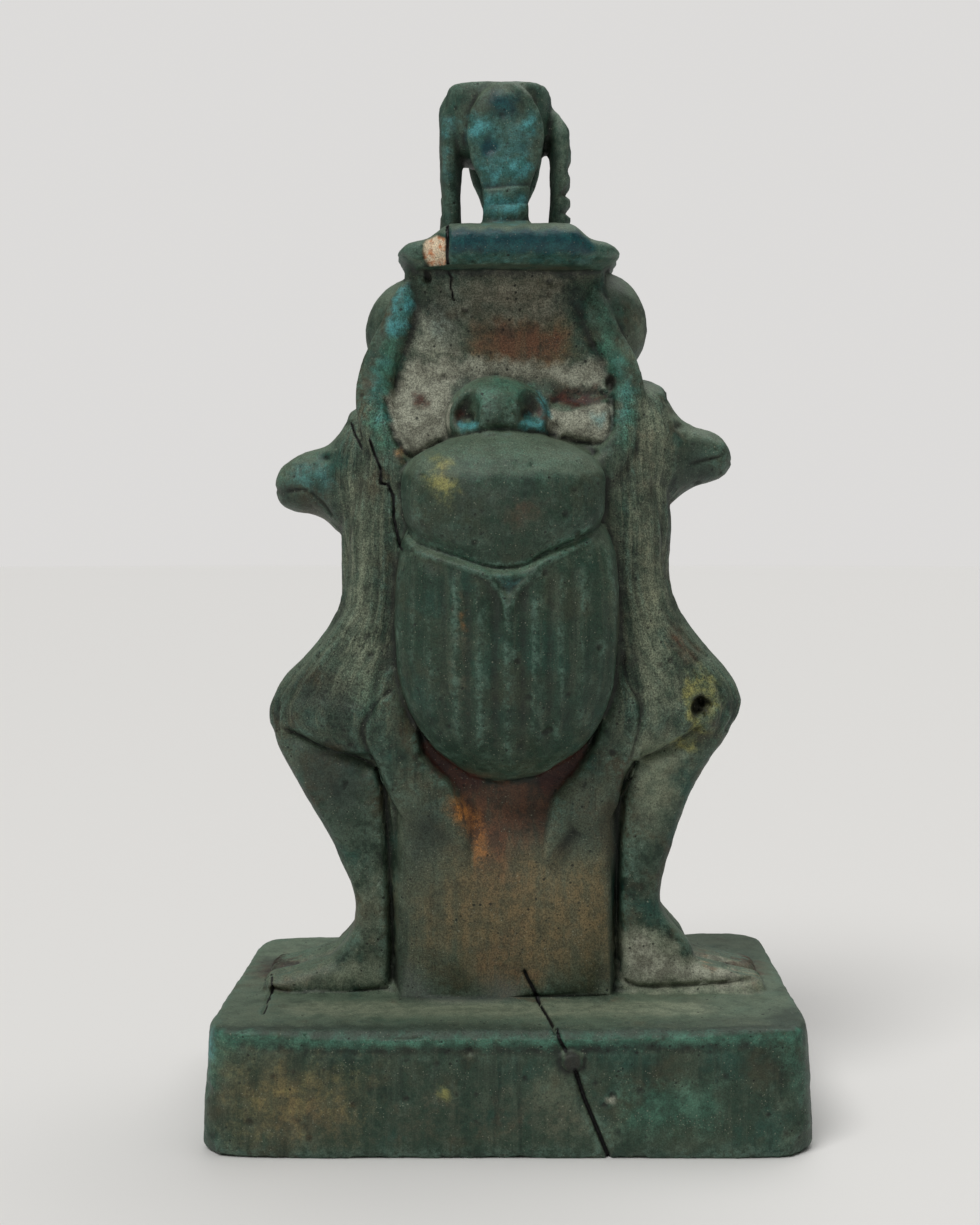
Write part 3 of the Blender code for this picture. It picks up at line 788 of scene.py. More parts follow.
hindLegs = {
    "left": (
        (-5.6, 24.3), (-5.14, 23.01), (-4.91, 21.19), (-4.07, 20.29), (-2.87, 19.08), (-2.32, 17.54),
        (-1.98, 14.64),
    ),
    "right": ((5.7, 23.76), (5.25, 21.8), (4.36, 20.29), (2.85, 18.78), (2.52, 16.96), (2.29, 14.53)),
    "recess": 0.95,
    "outerEdges": (
        ((-6.33, 25.13), (-7.3, 24.21), (-7.94, 23.23), (-8.11, 22.42), (-7.77, 21.33), (-7.3, 20.35)),
        ((6.57, 27.54), (6.9, 25.44), (7.71, 24.24), (7.61, 23.03), (7.33, 21.85), (6.75, 19.71)),
    ),
    "slots": (
        (((-4.4, 17.6), (-3.31, 16.01), (-2.3, 14.6)), 0.4, 0.36),
        (((4.2, 17.1), (3.18, 15.43), (2.45, 14.4)), 0.5, 0.5),
        (((-6.3, 19.5), (-5.2, 17.9), (-4.3, 16.4)), 0.5, 0.12),
        (((6.1, 19.0), (5.2, 17.4), (4.4, 16.2)), 0.5, 0.12),
    ),
    "recessEdge": (-0.1, 0.3),
    "recessFoot": 13.6,
    "recessFull": 18.4,
    "wingsEnd": (
        (-6.2, 26.5), (-5.43, 24.4), (-4.19, 21.9), (-2.02, 20.1), (-0.31, 19.8), (1.97, 20.1),
        (4.82, 22.1), (6.07, 24.4), (6.5, 26.5),
    ),
}


# Between the hind legs the stone lies deeper, most of all right under the wing cases
def carveHindLegs(skin):
    values = hindLegs
    near, weight, x, z, into = underTool(skin, "front", (-7.0, 13.0), (7.0, 25.0), (-5.6, -2.6))
    edges = []
    for name in ("left", "right"):
        upwards = sorted(values[name], key=lambda point: point[1])
        edges.append(lineAt(z, upwards, known=1))
    softness = values["recessEdge"]
    inside = rise(x - edges[0], *softness) * rise(edges[1] - x, *softness)
    depth = values["recess"] * rise(z, values["recessFoot"], values["recessFull"])
    depth = depth * rise(lineAt(x, values["wingsEnd"]) - z, *softness)
    skin["place"][near] += (inside * depth * weight)[:, None] * into
    # their outer edges over the thighs
    for line, profile in zip(values["outerEdges"], ("ledgeRight", "ledgeLeft")):
        press(skin, "front", line, width=0.34, depth=0.26, profile=profile, reach=(-6.8, -1.5))
    # slots beside their tips, and the soft line where each shin joins the block
    for line, width, depth in values["slots"]:
        press(skin, "front", line, width=width, depth=depth, reach=(-6.5, -2.5))
    # the rough hollow beside the left leg's tip
    dent(skin, "front", (-2.2, 17.9), radii=(0.95, 0.8), depth=0.5, reach=(-6.5, -2.5), power=1.2)
    dent(skin, "front", (-1.7, 17.1), radii=(0.5, 0.5), depth=0.3, reach=(-6.5, -2.0))
    dent(skin, "front", (-2.7, 17.8), radii=(0.3, 0.35), depth=-0.25, reach=(-6.5, -2.0))
    dent(skin, "front", (-1.6, 15.6), radii=(0.22, 0.7), depth=0.2, reach=(-6.5, -2.0))


legLines = {
    "creases": (
        (
            (-13.2, 22.75), (-12.39, 22.51), (-10.92, 21.81), (-9.44, 21.29), (-8.47, 20.98),
            (-7.6, 20.45), (-7.35, 20),
        ),
        ((11.6, 23.1), (10.52, 22.39), (9.59, 21.76), (8.26, 21.12), (7.6, 20.85)),
    ),
    "grooves": (
        ((-7.55, 20.5), (-7.15, 19.4), (-7, 18.2), (-6.85, 14.99), (-6.68, 11.13), (-6.62, 7.4)),
        ((7.7, 21), (7.14, 20.02), (6.84, 18.64), (6.66, 15.75), (6.62, 11.13), (6.68, 7.6)),
    ),
}


# Mouths, jaws and cheeks in profile: line, width, depth and fade
faceLines = (
    (((10.7, 38.1), (11.5, 38.3), (12.3, 38.5), (12.9, 38.63)), 0.13, 0.2, 0.2),
    (((11.0, 40.0), (11.6, 39.7), (12.3, 39.5), (13.0, 39.1)), 0.3, -0.08, 0.08),
    (((-13.0, 36.6), (-12.6, 36.57), (-12.08, 36.65), (-11.42, 36.59)), 0.14, 0.2, 0.2),
    (((-11.5, 36.59), (-10.71, 35.87), (-10.05, 35.03)), 0.12, 0.25, 0.08),
)
# Each animal from its own front: the side it faces, the heights of mouth and nostrils, and its eyes' lift
animalFronts = (("left", -1, 36.65, 37.45, 0.0), ("right", 1, 38.3, 39.2, 1.35))
toeGaps = (-0.75, -0.1, 0.55)


def carveAnimals(skin):
    # thighs hang over the shins in a sharp crease; a deep line parts each leg from the block
    for line, profile in zip(legLines["creases"], ("ledgeRight", "ledgeLeft")):
        press(skin, "front", line, width=0.6, depth=0.45, profile=profile, reach=(-6.5, 0.5), fade=0.16,
              lip=0.09)
        press(skin, "front", line, width=0.17, depth=0.35, reach=(-6.5, 0.5), fade=0.16)
    for line in legLines["grooves"]:
        press(skin, "front", line, width=0.19, depth=0.8, reach=(-6.5, 0.5), fade=0.02)
    # mouths and jaws
    for view in ("front", "back"):
        for line, width, depth, fade in faceLines:
            press(skin, view, line, width=width, depth=depth, fade=fade)
        for step in range(4):
            x = -13.1 + step * 0.36
            press(skin, view, ((x - 0.05, 38.1), (x + 0.05, 37.35)), width=0.11, depth=0.12)
        # eyes under the brow
        dent(skin, view, (-10.6, 38.4), radii=(0.5, 0.34), depth=0.28)
        press(skin, view, ((-11.2, 38.75), (-10.6, 38.95), (-9.9, 38.7)), width=0.2, depth=-0.14)
        dent(skin, view, (10.2, 40.3), radii=(0.45, 0.3), depth=0.18)
        press(skin, view, ((9.6, 40.5), (10.2, 40.8), (10.8, 40.5)), width=0.2, depth=-0.1)
    # seen from each animal's own front: mouth, nostrils, brow, eyes, mane, fingers and toes
    for view, side, mouth, nose, lift in animalFronts:
        muzzle = sorted((side * 8.0, side * 15.0))
        chest = sorted((side * 5.0, side * 15.0))
        line = ((-1.5, mouth - 0.1), (0.0, mouth + 0.05), (1.5, mouth - 0.1))
        press(skin, view, line, width=0.14, depth=0.06, reach=muzzle)
        for y in (-0.5, 0.5):
            dent(skin, view, (y, nose), radii=(0.3, 0.22), depth=0.2)
        for y in (-1, 1):
            brow = ((y * 0.5, 41.0 + lift), (y * 1.4, 41.35 + lift), (y * 2.3, 40.6 + lift))
            press(skin, view, brow, width=0.3, depth=-0.18)
            dent(skin, view, (y * 1.35, 40.5 + lift), radii=(0.62, 0.42), depth=0.34)
            dent(skin, view, (y * 1.35, 40.5 + lift), radii=(0.36, 0.26), depth=-0.24)
            # the mane's edge over the chest and arms
            edge = ((y * 3.6, 37.5), (y * 3.0, 34.0), (y * 2.2, 31.5), (y * 0.9, 29.6), (0.0, 29.0))
            press(skin, view, edge, width=0.4, depth=0.28, reach=chest)
            for finger in (-0.6, 0.0, 0.6):
                middle = y * baboonSizes["kneeSpread"] + finger
                press(skin, view, ((middle, 24.3), (middle, 22.4)), width=0.13, depth=0.2)
            for gap in toeGaps:
                middle = y * baboonSizes["legSpread"] + gap * y
                press(skin, view, ((middle, 8.9), (middle, 7.2)), width=0.14, depth=0.3)
    # from above: the gaps between the toes, and the channel between the feet
    for shape in baboonShapes.values():
        side, toe = shape["side"], shape["toe"]
        for y in (-1, 1):
            for gap in toeGaps:
                middle = y * baboonSizes["legSpread"] + gap * y
                line = ((side * (toe - 2.3), middle * 0.97), (side * (toe + 0.2), middle * 1.02))
                press(skin, "top", line, width=0.14, depth=0.2, reach=(7.3, 9.6))
        press(skin, "top", ((side * 8.4, 0.0), (side * (toe - 0.5), 0.0)), width=0.35, depth=0.25,
              reach=(7.3, 10.5))


maneValues = {
    "pitches": (0.7, 0.45),
    "depth": 0.026,
    "core": 5.0,
    "from": 6.3,
    "low": 20.5,
    "fadeIn": 3.5,
    "high": 43.0,
    "fadeOut": 1.5,
    "girth": 4.6,
}


# Runs round each cape: a point's place across the strands, and how much of the mane it has
def maneField(place):
    strand = np.zeros(len(place))
    mane = np.zeros(len(place))
    values = maneValues
    x, y, z = place.T
    for shape in baboonShapes.values():
        heights = [row[0] + plinthTop for row in shape["cape"]]
        reach = np.interp(z, heights, [row[1] for row in shape["cape"]])
        half = np.interp(z, heights, [capeHalf(row[0]) for row in shape["cape"]])
        out = shape["side"] * x
        core = values["core"]
        turn = np.arctan2(y / half, np.maximum(out - core, 0.05) / np.maximum(reach - core, 0.5))
        here = rise(out, values["from"] - 0.6, values["from"] + 0.6) * (1 - rise(out - reach, 0.2, 0.9))
        here *= rise(z, values["low"], values["low"] + values["fadeIn"])
        here *= 1 - rise(z, values["high"] - values["fadeOut"], values["high"])
        strand = np.where(here > mane, turn * values["girth"], strand)
        mane = np.maximum(mane, here)
    return strand, mane


def combMane(skin):
    values = maneValues
    place = skin["place"]
    strand, mane = maneField(place)
    z = place[:, 2]
    wave = np.zeros(len(place))
    for pitch in values["pitches"]:
        turn = strand * 2 * math.pi / pitch + 1.6 * np.sin(z * 0.35 + strand)
        wave += np.sin(turn) * (0.6 + 0.4 * np.sin(z * 0.8 + strand * 2))
    skin["place"] += (wave * mane * values["depth"])[:, None] * skin["facing"]


# Right edge of the front cobra's hood, and the top of the broken crown from left to right
hoodEdge = (
    (1.28, 53.6), (1.55, 54.6), (1.9, 55.5), (2.12, 56.5), (2.16, 57.4), (1.98, 58.3), (1.6, 59),
    (1.1, 59.6),
)
crownTopLine = (
    (-4.3, 58.2), (-3.75, 59.3), (-3.4, 59.95), (-2.6, 60.15), (1.9, 60.19), (2.45, 60), (2.8, 59.55),
    (3.2, 59.35), (3.6, 58.5), (3.9, 56.9), (4.2, 55.4),
)


# The right cobra: its knocks as height, middle and radius, the gaps between its beads as height and radius
crownWear = {
    "knocks": ((57.0, -0.9, 0.8), (55.9, 0.8, 0.7), (54.2, -0.9, 0.5), (53.4, 0.6, 0.6), (52.8, -0.7, 0.4)),
    "beads": ((55.5, 0.6), (54.2, 0.4), (53.1, 0.4), (52.3, 0.3)),
    "dome": (
        (-0.85, 57.6), (-1.05, 58.4), (-0.8, 59.2), (-0.1, 59.6), (0.7, 59.2), (0.95, 58.4), (0.8, 57.6),
    ),
}
# How far out each cobra stands on its own side
cobraReach = {"front": (-5, -2), "back": (2, 5), "left": (-5, -2), "right": (2, 5)}


def carveCrown(skin):
    # belly bands of each cobra, cut alike on its outer face
    for z in (53.95, 52.92, 51.95):
        for view in ("front", "back", "left", "right"):
            line = ((-1.5, z - 0.12), (0.0, z - 0.04), (1.6, z + 0.14))
            depth = 0.06 if view == "left" else 0.2
            press(skin, view, line, width=0.36, depth=depth, profile="ledgeLeft", fade=0.03,
                  reach=cobraReach[view])
    # pattern of the hood
    for view, x in (("front", -0.94), ("back", 0.94)):
        dent(skin, view, (x, 56.15), radii=(0.62, 0.52), depth=0.16, reach=cobraReach[view])
    for x, z in ((-1.3, 57.3), (1.3, 57.4), (-1.0, 55.0), (0.75, 55.0)):
        dent(skin, "front", (x, z), radii=(0.75, 0.55), depth=-0.1, reach=(-5, -2))
    press(skin, "front", ((-1.4, 54.75), (0.0, 54.55), (1.4, 54.75)), width=0.3, depth=0.08, reach=(-5, -2))
    for y in (-1, 1):
        dent(skin, "left", (y, 56.0), radii=(0.7, 0.6), depth=0.18, reach=(-5, -2))
        dent(skin, "right", (y, 55.6), radii=(0.7, 0.6), depth=0.18, reach=(2, 5))
    # the dome of the front cobra's head lies in the hood
    press(skin, "front", crownWear["dome"], width=0.16, depth=0.06, reach=cobraReach["front"], fade=0.3)
    # the hood's own edge against the drum
    for side in (-1, 1):
        edge = [(side * x + 0.03, z) for x, z in hoodEdge]
        press(skin, "front", edge, width=0.13, depth=-0.08, reach=(-5, -2.4))
        press(skin, "front", [(x * 1.12, z) for x, z in edge[:5]], width=0.16, depth=0.16,
              reach=(-4.2, -1.5))
    # the whole top is broken down to a low slope, lower at both sides
    slope = smoothRows(crownTopLine, 4)
    crownTop = lineAt(skin["place"][:, 0], slope)
    tall = skin["place"][:, 2] > 55.5
    skin["place"][:, 2] = np.where(tall, np.minimum(skin["place"][:, 2], crownTop), skin["place"][:, 2])
    # battered right cobra
    for z, y, r in crownWear["knocks"]:
        dent(skin, "right", (y, z), radii=(r, r * 1.2), depth=0.28, reach=(2, 5), power=1.2)
    for z, r in crownWear["beads"]:
        dent(skin, "right", (0.0, z), radii=(2.6, r), depth=0.14, reach=(2, 5))
    # chip and band of the abacus
    dent(skin, "front", (-3.98, 50.0), radii=(0.8, 1.0), depth=0.5, reach=(-7.5, -4.0), power=0.8)
    dent(skin, "front", (-3.6, 49.6), radii=(0.5, 0.5), depth=0.25, reach=(-7.5, -4.0))
    press(skin, "front", ((-6.0, 51.0), (0.0, 51.25), (6.3, 51.0)), width=0.16, depth=0.08,
          reach=(-7.5, -4.0))
    press(skin, "front", ((-3.0, 49.75), (0.0, 49.7), (5.0, 49.75)), width=0.14, depth=-0.07,
          reach=(-7.5, -4.0))


# Dips in the top's front edge as place and depth, and knocked corners as place, height and radius
plinthWear = {
    "edge": (
        (-16.4, 7.0), (-14.6, 6.85), (-12.3, 6.62), (-10.0, 6.42), (-7.0, 6.38), (-2.9, 6.45),
        (2.8, 6.42), (7.1, 6.62), (11.0, 6.62), (13.5, 6.8), (16.6, 7.0),
    ),
    "dips": ((-14.4, 0.08), (-5.5, 0.1), (5.2, 0.12), (9.8, 0.06)),
    "corners": ((16.7, 0.4, 1.1), (-16.6, 0.3, 0.8), (-16.7, 6.9, 0.8), (16.9, 6.9, 0.7), (-16.5, 3.5, 0.5)),
}


def carvePlinth(skin):
    # the top front edge is worn into a low wave, with a groove below it and one behind it
    edge = plinthWear["edge"]
    press(skin, "front", edge, width=0.28, depth=-0.12, reach=(-13.0, -10.8), fade=0.02)
    press(skin, "front", [(x, z - 0.55) for x, z in edge], width=0.3, depth=0.1, reach=(-13.0, -10.8),
          fade=0.1)
    press(skin, "top", ((-16.0, -10.35), (-10.0, -10.5), (0.0, -10.6), (8.0, -10.5), (16.0, -10.4)),
          width=0.45, depth=0.1, reach=(6.2, 8.0), fade=0.02)
    press(skin, "top", ((-12.0, -11.5), (-4.0, -11.6), (4.0, -11.6), (12.0, -11.5)), width=0.6, depth=0.25,
          reach=(6.0, 8.0), fade=0.15)
    for x, depth in plinthWear["dips"]:
        dent(skin, "top", (x, -11.4), radii=(1.6, 0.9), depth=depth, reach=(6.0, 8.0))
    # the dark knob in the crack
    dent(skin, "front", (3.6, 5.35), radii=(0.66, 0.62), depth=-0.5, reach=(-13.0, -10.8), power=0.8)
    # undercuts at the foot of block and feet
    press(skin, "front", ((-6.4, 7.12), (0.0, 7.1), (6.56, 7.2)), width=0.16, depth=0.4, reach=(-6.0, -3.0),
          fade=0.02)
    press(skin, "front", ((-13.9, 7.35), (-10.98, 6.95), (-6.69, 7.38)), width=0.15, depth=0.35,
          reach=(-5.0, -1.5), fade=0.04)
    press(skin, "front", ((6.87, 7.97), (7.93, 7.44), (11.45, 7.55), (14.8, 7.85)), width=0.15, depth=0.35,
          reach=(-5.0, -1.5), fade=0.04)
    for x, z, r in plinthWear["corners"]:
        for view in ("front", "back"):
            dent(skin, view, (x, z), radii=(r, r), depth=0.35, power=1.0)


# Blow-holes and knocks all over, at places drawn once from a fixed seed
pitValues = {
    "seed": 41,
    "count": 1100,
    "radius": (0.11, 0.3),
    "depth": 0.45,
    "lowest": 0.8,
}


def pitSkin(skin):
    values = pitValues
    draw = np.random.RandomState(values["seed"])
    place = skin["place"]
    tree = KDTree(len(place))
    for index, point in enumerate(place):
        tree.insert(point, index)
    tree.balance()
    chosen = draw.choice(len(place), values["count"], replace=False)
    smallest, largest = values["radius"]
    sizes = smallest + (largest - smallest) * draw.random_sample(values["count"]) ** 3
    for index, radius in zip(chosen, sizes):
        middle = place[index].copy()
        into = -skin["facing"][index]
        if middle[2] < values["lowest"]:
            continue
        for spot, number, gap in tree.find_range(middle, radius):
            place[number] += into * radius * values["depth"] * (1 - (gap / radius) ** 2)


def carveWear(skin):
    # hole and flake at the right knee
    dent(skin, "front", (11.2, 24.05), radii=(0.42, 0.6), depth=0.85, reach=(-6.5, 0.5), power=0.45,
         turn=-0.5)
    dent(skin, "front", (11.6, 24.2), radii=(0.5, 0.3), depth=0.6, reach=(-6.5, 0.5), power=0.5, turn=-0.7)
    dent(skin, "front", (11.35, 23.6), radii=(0.26, 0.34), depth=0.5, reach=(-6.5, 0.5), power=0.5, turn=0.4)
    press(skin, "front", ((11.1, 23.6), (10.95, 23.0), (10.6, 22.6)), width=0.12, depth=0.2,
          reach=(-6.5, 0.5))
    dent(skin, "front", (10.8, 25.1), radii=(1.3, 1.6), depth=0.14, reach=(-6.5, 0.5), power=1.0)
    for line in (((9.3, 28.7), (10.2, 27.5), (11.3, 26.4)), ((9.9, 28.6), (10.9, 27.5), (12.0, 26.7))):
        press(skin, "front", line, width=0.14, depth=0.14, reach=(-6.5, 0.5))
    for toolSide, reach, width, depth, line in crackLines.values():
        press(skin, toolSide, line, width=width, depth=depth, profile="sharp", reach=reach, curved=False,
              fade=0.04)


# The slow unevenness of a hand-pressed paste, from clouds that Blender makes itself
unevenness = (
    ("broad", 3.6, 0.2, 2),
    ("middle", 1.2, 0.1, 2),
    ("grain", 0.4, 0.03, 1),
)


def weatherSkin(made):
    for name, size, strength, depth in unevenness:
        cloud = bpy.data.textures.new(name, "CLOUDS")
        cloud.noise_scale = size * mm
        cloud.noise_depth = depth
        shift = made.modifiers.new(name, "DISPLACE")
        shift.texture = cloud
        shift.texture_coords = "LOCAL"
        shift.strength = strength * mm
        shift.mid_level = 0.5
        bpy.ops.object.modifier_apply(modifier=name)


# How far the thinning spares each part, from 0 to 1, and where the small spots lie on the plinth's front
keepValues = {
    "face": 0.4,
    "outline": 0.35,
    "foot": 0.3,
    "spot": 0.8,
    "crack": 1.0,
    "effect": 0.45,
    "spots": ((3.6, 5.35), (-3.35, 3.65), (5.72, 3.25)),
    "spotRadius": 0.8,
    "crackWidth": 0.4,
}


# Taken before the last reading of the skin, so that the thinning follows the carved faces
def sparedPoints(skin):
    values = keepValues
    place = skin["place"]
    x, y, z = place.T
    forward = -skin["facing"][:, 1]
    kept = np.zeros(len(place))
    kept[(rise(forward, 0.0, 0.3) * rise(z, 19.0, 20.0) * (y < -1.0)) > 0.5] = values["face"]
    wide = np.abs(x)
    edge = (wide > 6.6) & (z > 13.0) & (np.abs(forward) < 0.4)
    kept[(z > 44.5) | (wide > 9.3) & (z > 32.0) | edge] = values["outline"]
    feet = (z > 6.9) & (z < 13.5) & (wide > 6.4)
    rim = (z < 7.4) & ((wide > 15.6) | (np.abs(y) > 10.6))
    kept[feet | rim] = values["foot"]
    for u, v in values["spots"]:
        kept[(np.hypot(x - u, z - v) < values["spotRadius"]) & (y < -10.5)] = values["spot"]
    for toolSide, reach, width, depth, line in crackLines.values():
        near, weight, u, v, into = underTool(skin, toolSide, everywhere[0], everywhere[1], reach)
        kept[near[measureLine(u, v, line)[0] < values["crackWidth"]]] = values["crack"]
    return kept


def thinSkin(made, kept):
    values = keepValues
    keep = made.vertex_groups.new(name="fine")
    for level in np.unique(kept[kept > 0]):
        keep.add(np.flatnonzero(kept == level).tolist(), float(level), "REPLACE")
    count = sum(len(face.vertices) - 2 for face in made.data.polygons)
    thin = made.modifiers.new("thin", "DECIMATE")
    thin.ratio = min(1.0, skinValues["triangles"] / count)
    thin.vertex_group = "fine"
    thin.invert_vertex_group = True
    thin.vertex_group_factor = values["effect"]
    bpy.ops.object.modifier_apply(modifier="thin")
    made.vertex_groups.clear()


# The looks stay within the solid's own box, and the rest face lies on the floor
def fitToBox(made):
    skin = readSkin(made)
    place = skin["place"]
    place[:, 0] -= plinthMiddle[0]
    place[:, 1] -= plinthMiddle[1]
    low = np.array(cadBox[0]) / mm
    high = np.array(cadBox[1]) / mm
    place[:, 2] = np.where(place[:, 2] < 0.1, 0.0, place[:, 2])
    skin["place"] = np.clip(place, low, high)
    writeSkin(made, skin)


# Where a stain is seen from, and the depths between which it lies
stainSpots = {
    "knob": ("front", (-13.5, -10.5)),
    "plinthFront": ("front", (-13, -10.5)),
    "plinthCorner": ("front", (-13, -9)),
    "plinthEnds": ("front", (-13, -8)),
    "blockFoot": ("front", (-13, -4)),
    "wingCases": ("front", (-9.5, -6)),
    "neckShield": ("front", (-9.5, -5)),
    "shieldEdge": ("front", (-9.5, -4)),
    "scarabHead": ("front", (-9.5, -3)),
    "abacusFace": ("front", (-8, -4.5)),
    "abacusChip": ("front", (-8, -4)),
    "eyeHollows": ("front", (-8, -2.5)),
    "forelegRoot": ("front", (-7, -1.5)),
    "forelegs": ("front", (-7, -0.5)),
    "blockFace": ("front", (-6.5, -3)),
    "underWings": ("front", (-6.5, -1.5)),
    "animals": ("front", (-6.5, 1)),
    "nearCobra": ("front", (-6, -2.2)),
    "besideWings": ("front", (-6, -2)),
    "forelegSides": ("front", (-6, -0.5)),
    "heads": ("front", (-6, 1)),
    "feet": ("front", (-6, 6)),
    "hindLegEdges": ("front", (-5.4, -1.5)),
    "panel": ("front", (-5, -1.5)),
    "forelegTops": ("front", (-5, -0.5)),
    "nearHalf": ("front", (-5, 1)),
    "crown": ("front", (-5, 3)),
    "recess": ("front", (-4.9, -1.5)),
    "ankles": ("front", (-4, 9)),
    "topEdge": ("top", (6, 8)),
    "topFace": ("top", (6.3, 8)),
}
